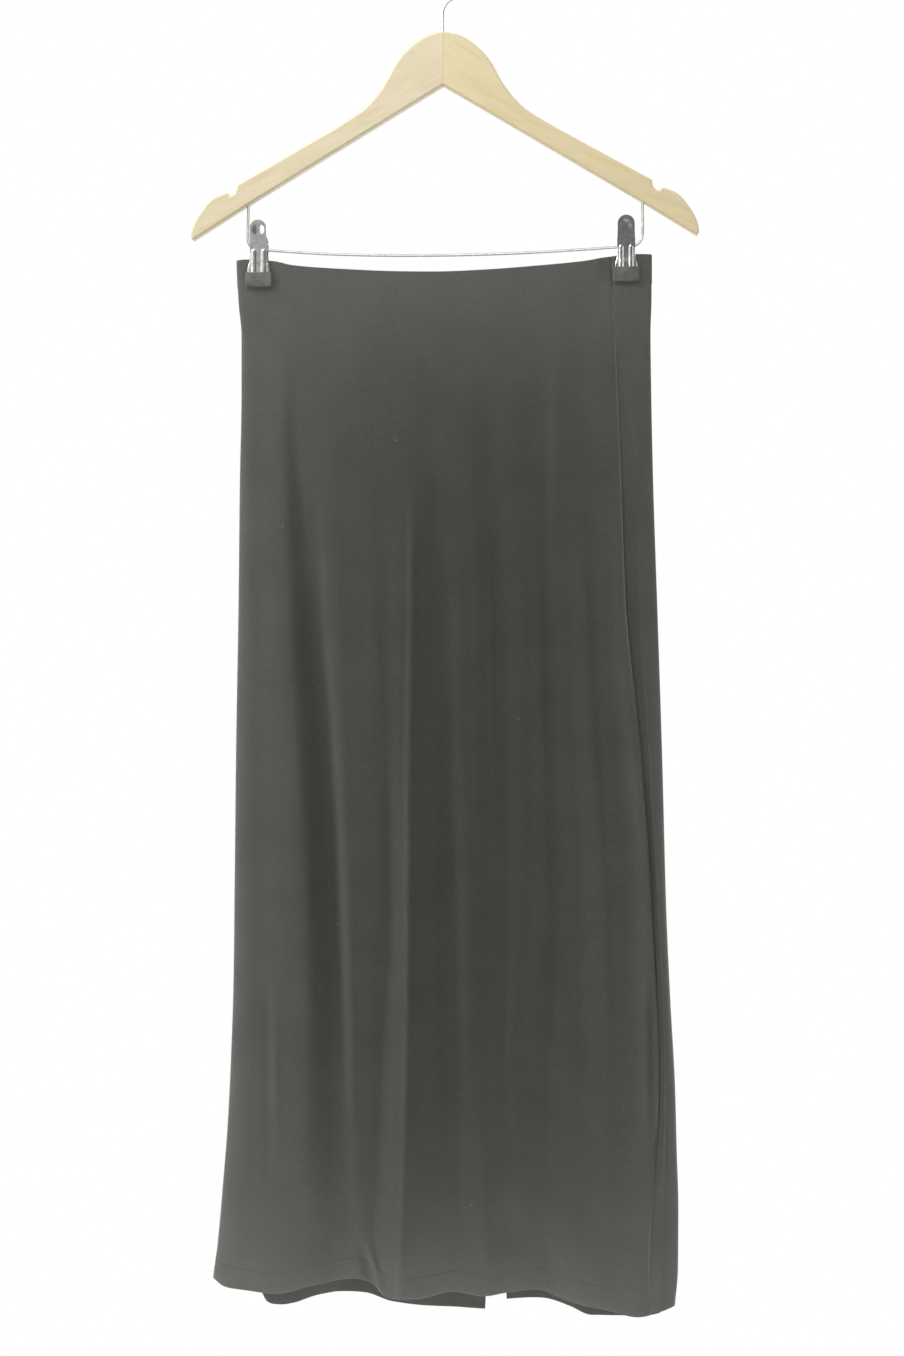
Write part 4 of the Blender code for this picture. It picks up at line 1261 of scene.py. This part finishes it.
class SKIRT_OT_wires(bpy.types.Operator):
    """Bend the hook and the rail"""

    bl_idname = "skirt.wires"
    bl_label = "Hook and rail"

    def execute(self, context):
        settings = context.scene.skirt_hanger
        bright = metal_material("bright_wire", settings.hook, 0.22, (300.0, 300.0, 300.0))
        plain = metal_material("steel_wire", settings.wire, 0.30, (300.0, 300.0, 300.0))
        crown = []
        for step in range(HOOK_STEPS + 1):
            angle = HOOK_BEGIN_DEG + (HOOK_END_DEG - HOOK_BEGIN_DEG) * step / HOOK_STEPS
            turn = math.radians(angle)
            inside = HOOK_RADIUS - HOOK_WIRE / 2.0
            crown.append((HOOK_RADIUS * math.cos(turn), HOOK_RADIUS * math.sin(turn) - inside))
        bend = soften(HOOK_STEM + HOOK_BEND + (crown[0], crown[1]), WIRE_ROUTE_STEPS)
        add_wire("hook_wire", "hook", bend[:-WIRE_ROUTE_STEPS - 1] + crown, HOOK_WIRE, bright)
        rail = soften(RAIL_LEFT + RAIL_SPAN + RAIL_RIGHT, WIRE_ROUTE_STEPS)
        add_wire("rail_wire", "rail", rail, RAIL_WIRE, plain)
        return {"FINISHED"}


class SKIRT_OT_clips(bpy.types.Operator):
    """Press both clips, cap them and set them on the rail"""

    bl_idname = "skirt.clips"
    bl_label = "Clips"

    def execute(self, context):
        settings = context.scene.skirt_hanger
        metal = metal_material("plated_steel", settings.plate, 0.17, (900.0, 900.0, 60.0))
        rubber = rubber_material(settings.rubber)
        for side, middle, lever_top, cap_top in CLIPS:
            for part, face in (("front", -1.0), ("back", 1.0)):
                stem = f"clip_{side}_{part}"
                add_clip_plate(f"{side}_{part}_plate", f"{stem}_plate", middle, lever_top, face, metal)
                add_cap(f"{side}_{part}_cap", f"{stem}_cap", middle, cap_top, face, rubber)
            add_spring(f"{side}_spring", f"clip_{side}_spring", middle, metal)
        return {"FINISHED"}


class SKIRT_OT_stage(bpy.types.Operator):
    """Set the floor, the lights and the camera"""

    bl_idname = "skirt.stage"
    bl_label = "Studio"

    def execute(self, context):
        settings = context.scene.skirt_studio
        mesh = bmesh.new()
        bmesh.ops.create_grid(mesh, x_segments=1, y_segments=1, size=FLOOR_SIZE / 2.0)
        bmesh.ops.translate(mesh, verts=mesh.verts, vec=(0.0, 0.0, FLOOR_LEVEL))
        ground = finish_mesh("floor", mesh)
        ground.data.materials.append(floor_material(settings.floor_colour))
        light_surround(settings)
        for name, place, target, size, power, pieces in LAMPS:
            add_light(name, place, target, size, power * settings.lamp_share, pieces)
        for name, place, target, size, power, pieces in EDGE_STRIPS:
            add_light(name, place, target, size, power * settings.edge_share, pieces)
        data = bpy.data.cameras.new("camera")
        data.lens = settings.lens
        camera = bpy.data.objects.new("camera", data)
        camera.location = CAMERA_PLACE
        camera.rotation_euler = point_at(CAMERA_PLACE, CAMERA_TARGET)
        context.scene.collection.objects.link(camera)
        context.scene.camera = camera
        context.scene.view_settings.view_transform = "Standard"
        return {"FINISHED"}


STEPS = (SKIRT_OT_panels, SKIRT_OT_stitches, SKIRT_OT_lint, SKIRT_OT_boards, SKIRT_OT_wires, SKIRT_OT_clips,
         SKIRT_OT_stage)
SETTINGS = {
    "skirt_cloth": SkirtClothSettings,
    "skirt_hanger": SkirtHangerSettings,
    "skirt_studio": SkirtStudioSettings,
}


class VIEW3D_PT_skirt(bpy.types.Panel):
    """The skirt's settings and steps"""

    bl_label = "Skirt on a clip hanger"
    bl_idname = "VIEW3D_PT_skirt"
    bl_space_type = "VIEW_3D"
    bl_region_type = "UI"
    bl_category = "Skirt"

    def draw(self, context):
        for group in SETTINGS:
            box = self.layout.box()
            settings = getattr(context.scene, group)
            for name in settings.__annotations__:
                box.prop(settings, name)
        for step in STEPS:
            self.layout.operator(step.bl_idname)


CLASSES = (*SETTINGS.values(), *STEPS, VIEW3D_PT_skirt)


def register():
    for item in CLASSES:
        bpy.utils.register_class(item)
    for group, kind in SETTINGS.items():
        setattr(bpy.types.Scene, group, bpy.props.PointerProperty(type=kind))


def unregister():
    for group in SETTINGS:
        delattr(bpy.types.Scene, group)
    for item in reversed(CLASSES):
        bpy.utils.unregister_class(item)


def main():
    register()
    bpy.ops.skirt.panels()
    bpy.ops.skirt.stitches()
    bpy.ops.skirt.lint()
    bpy.ops.skirt.boards()
    bpy.ops.skirt.wires()
    bpy.ops.skirt.clips()
    bpy.ops.skirt.stage()


if __name__ == "__main__":
    main()
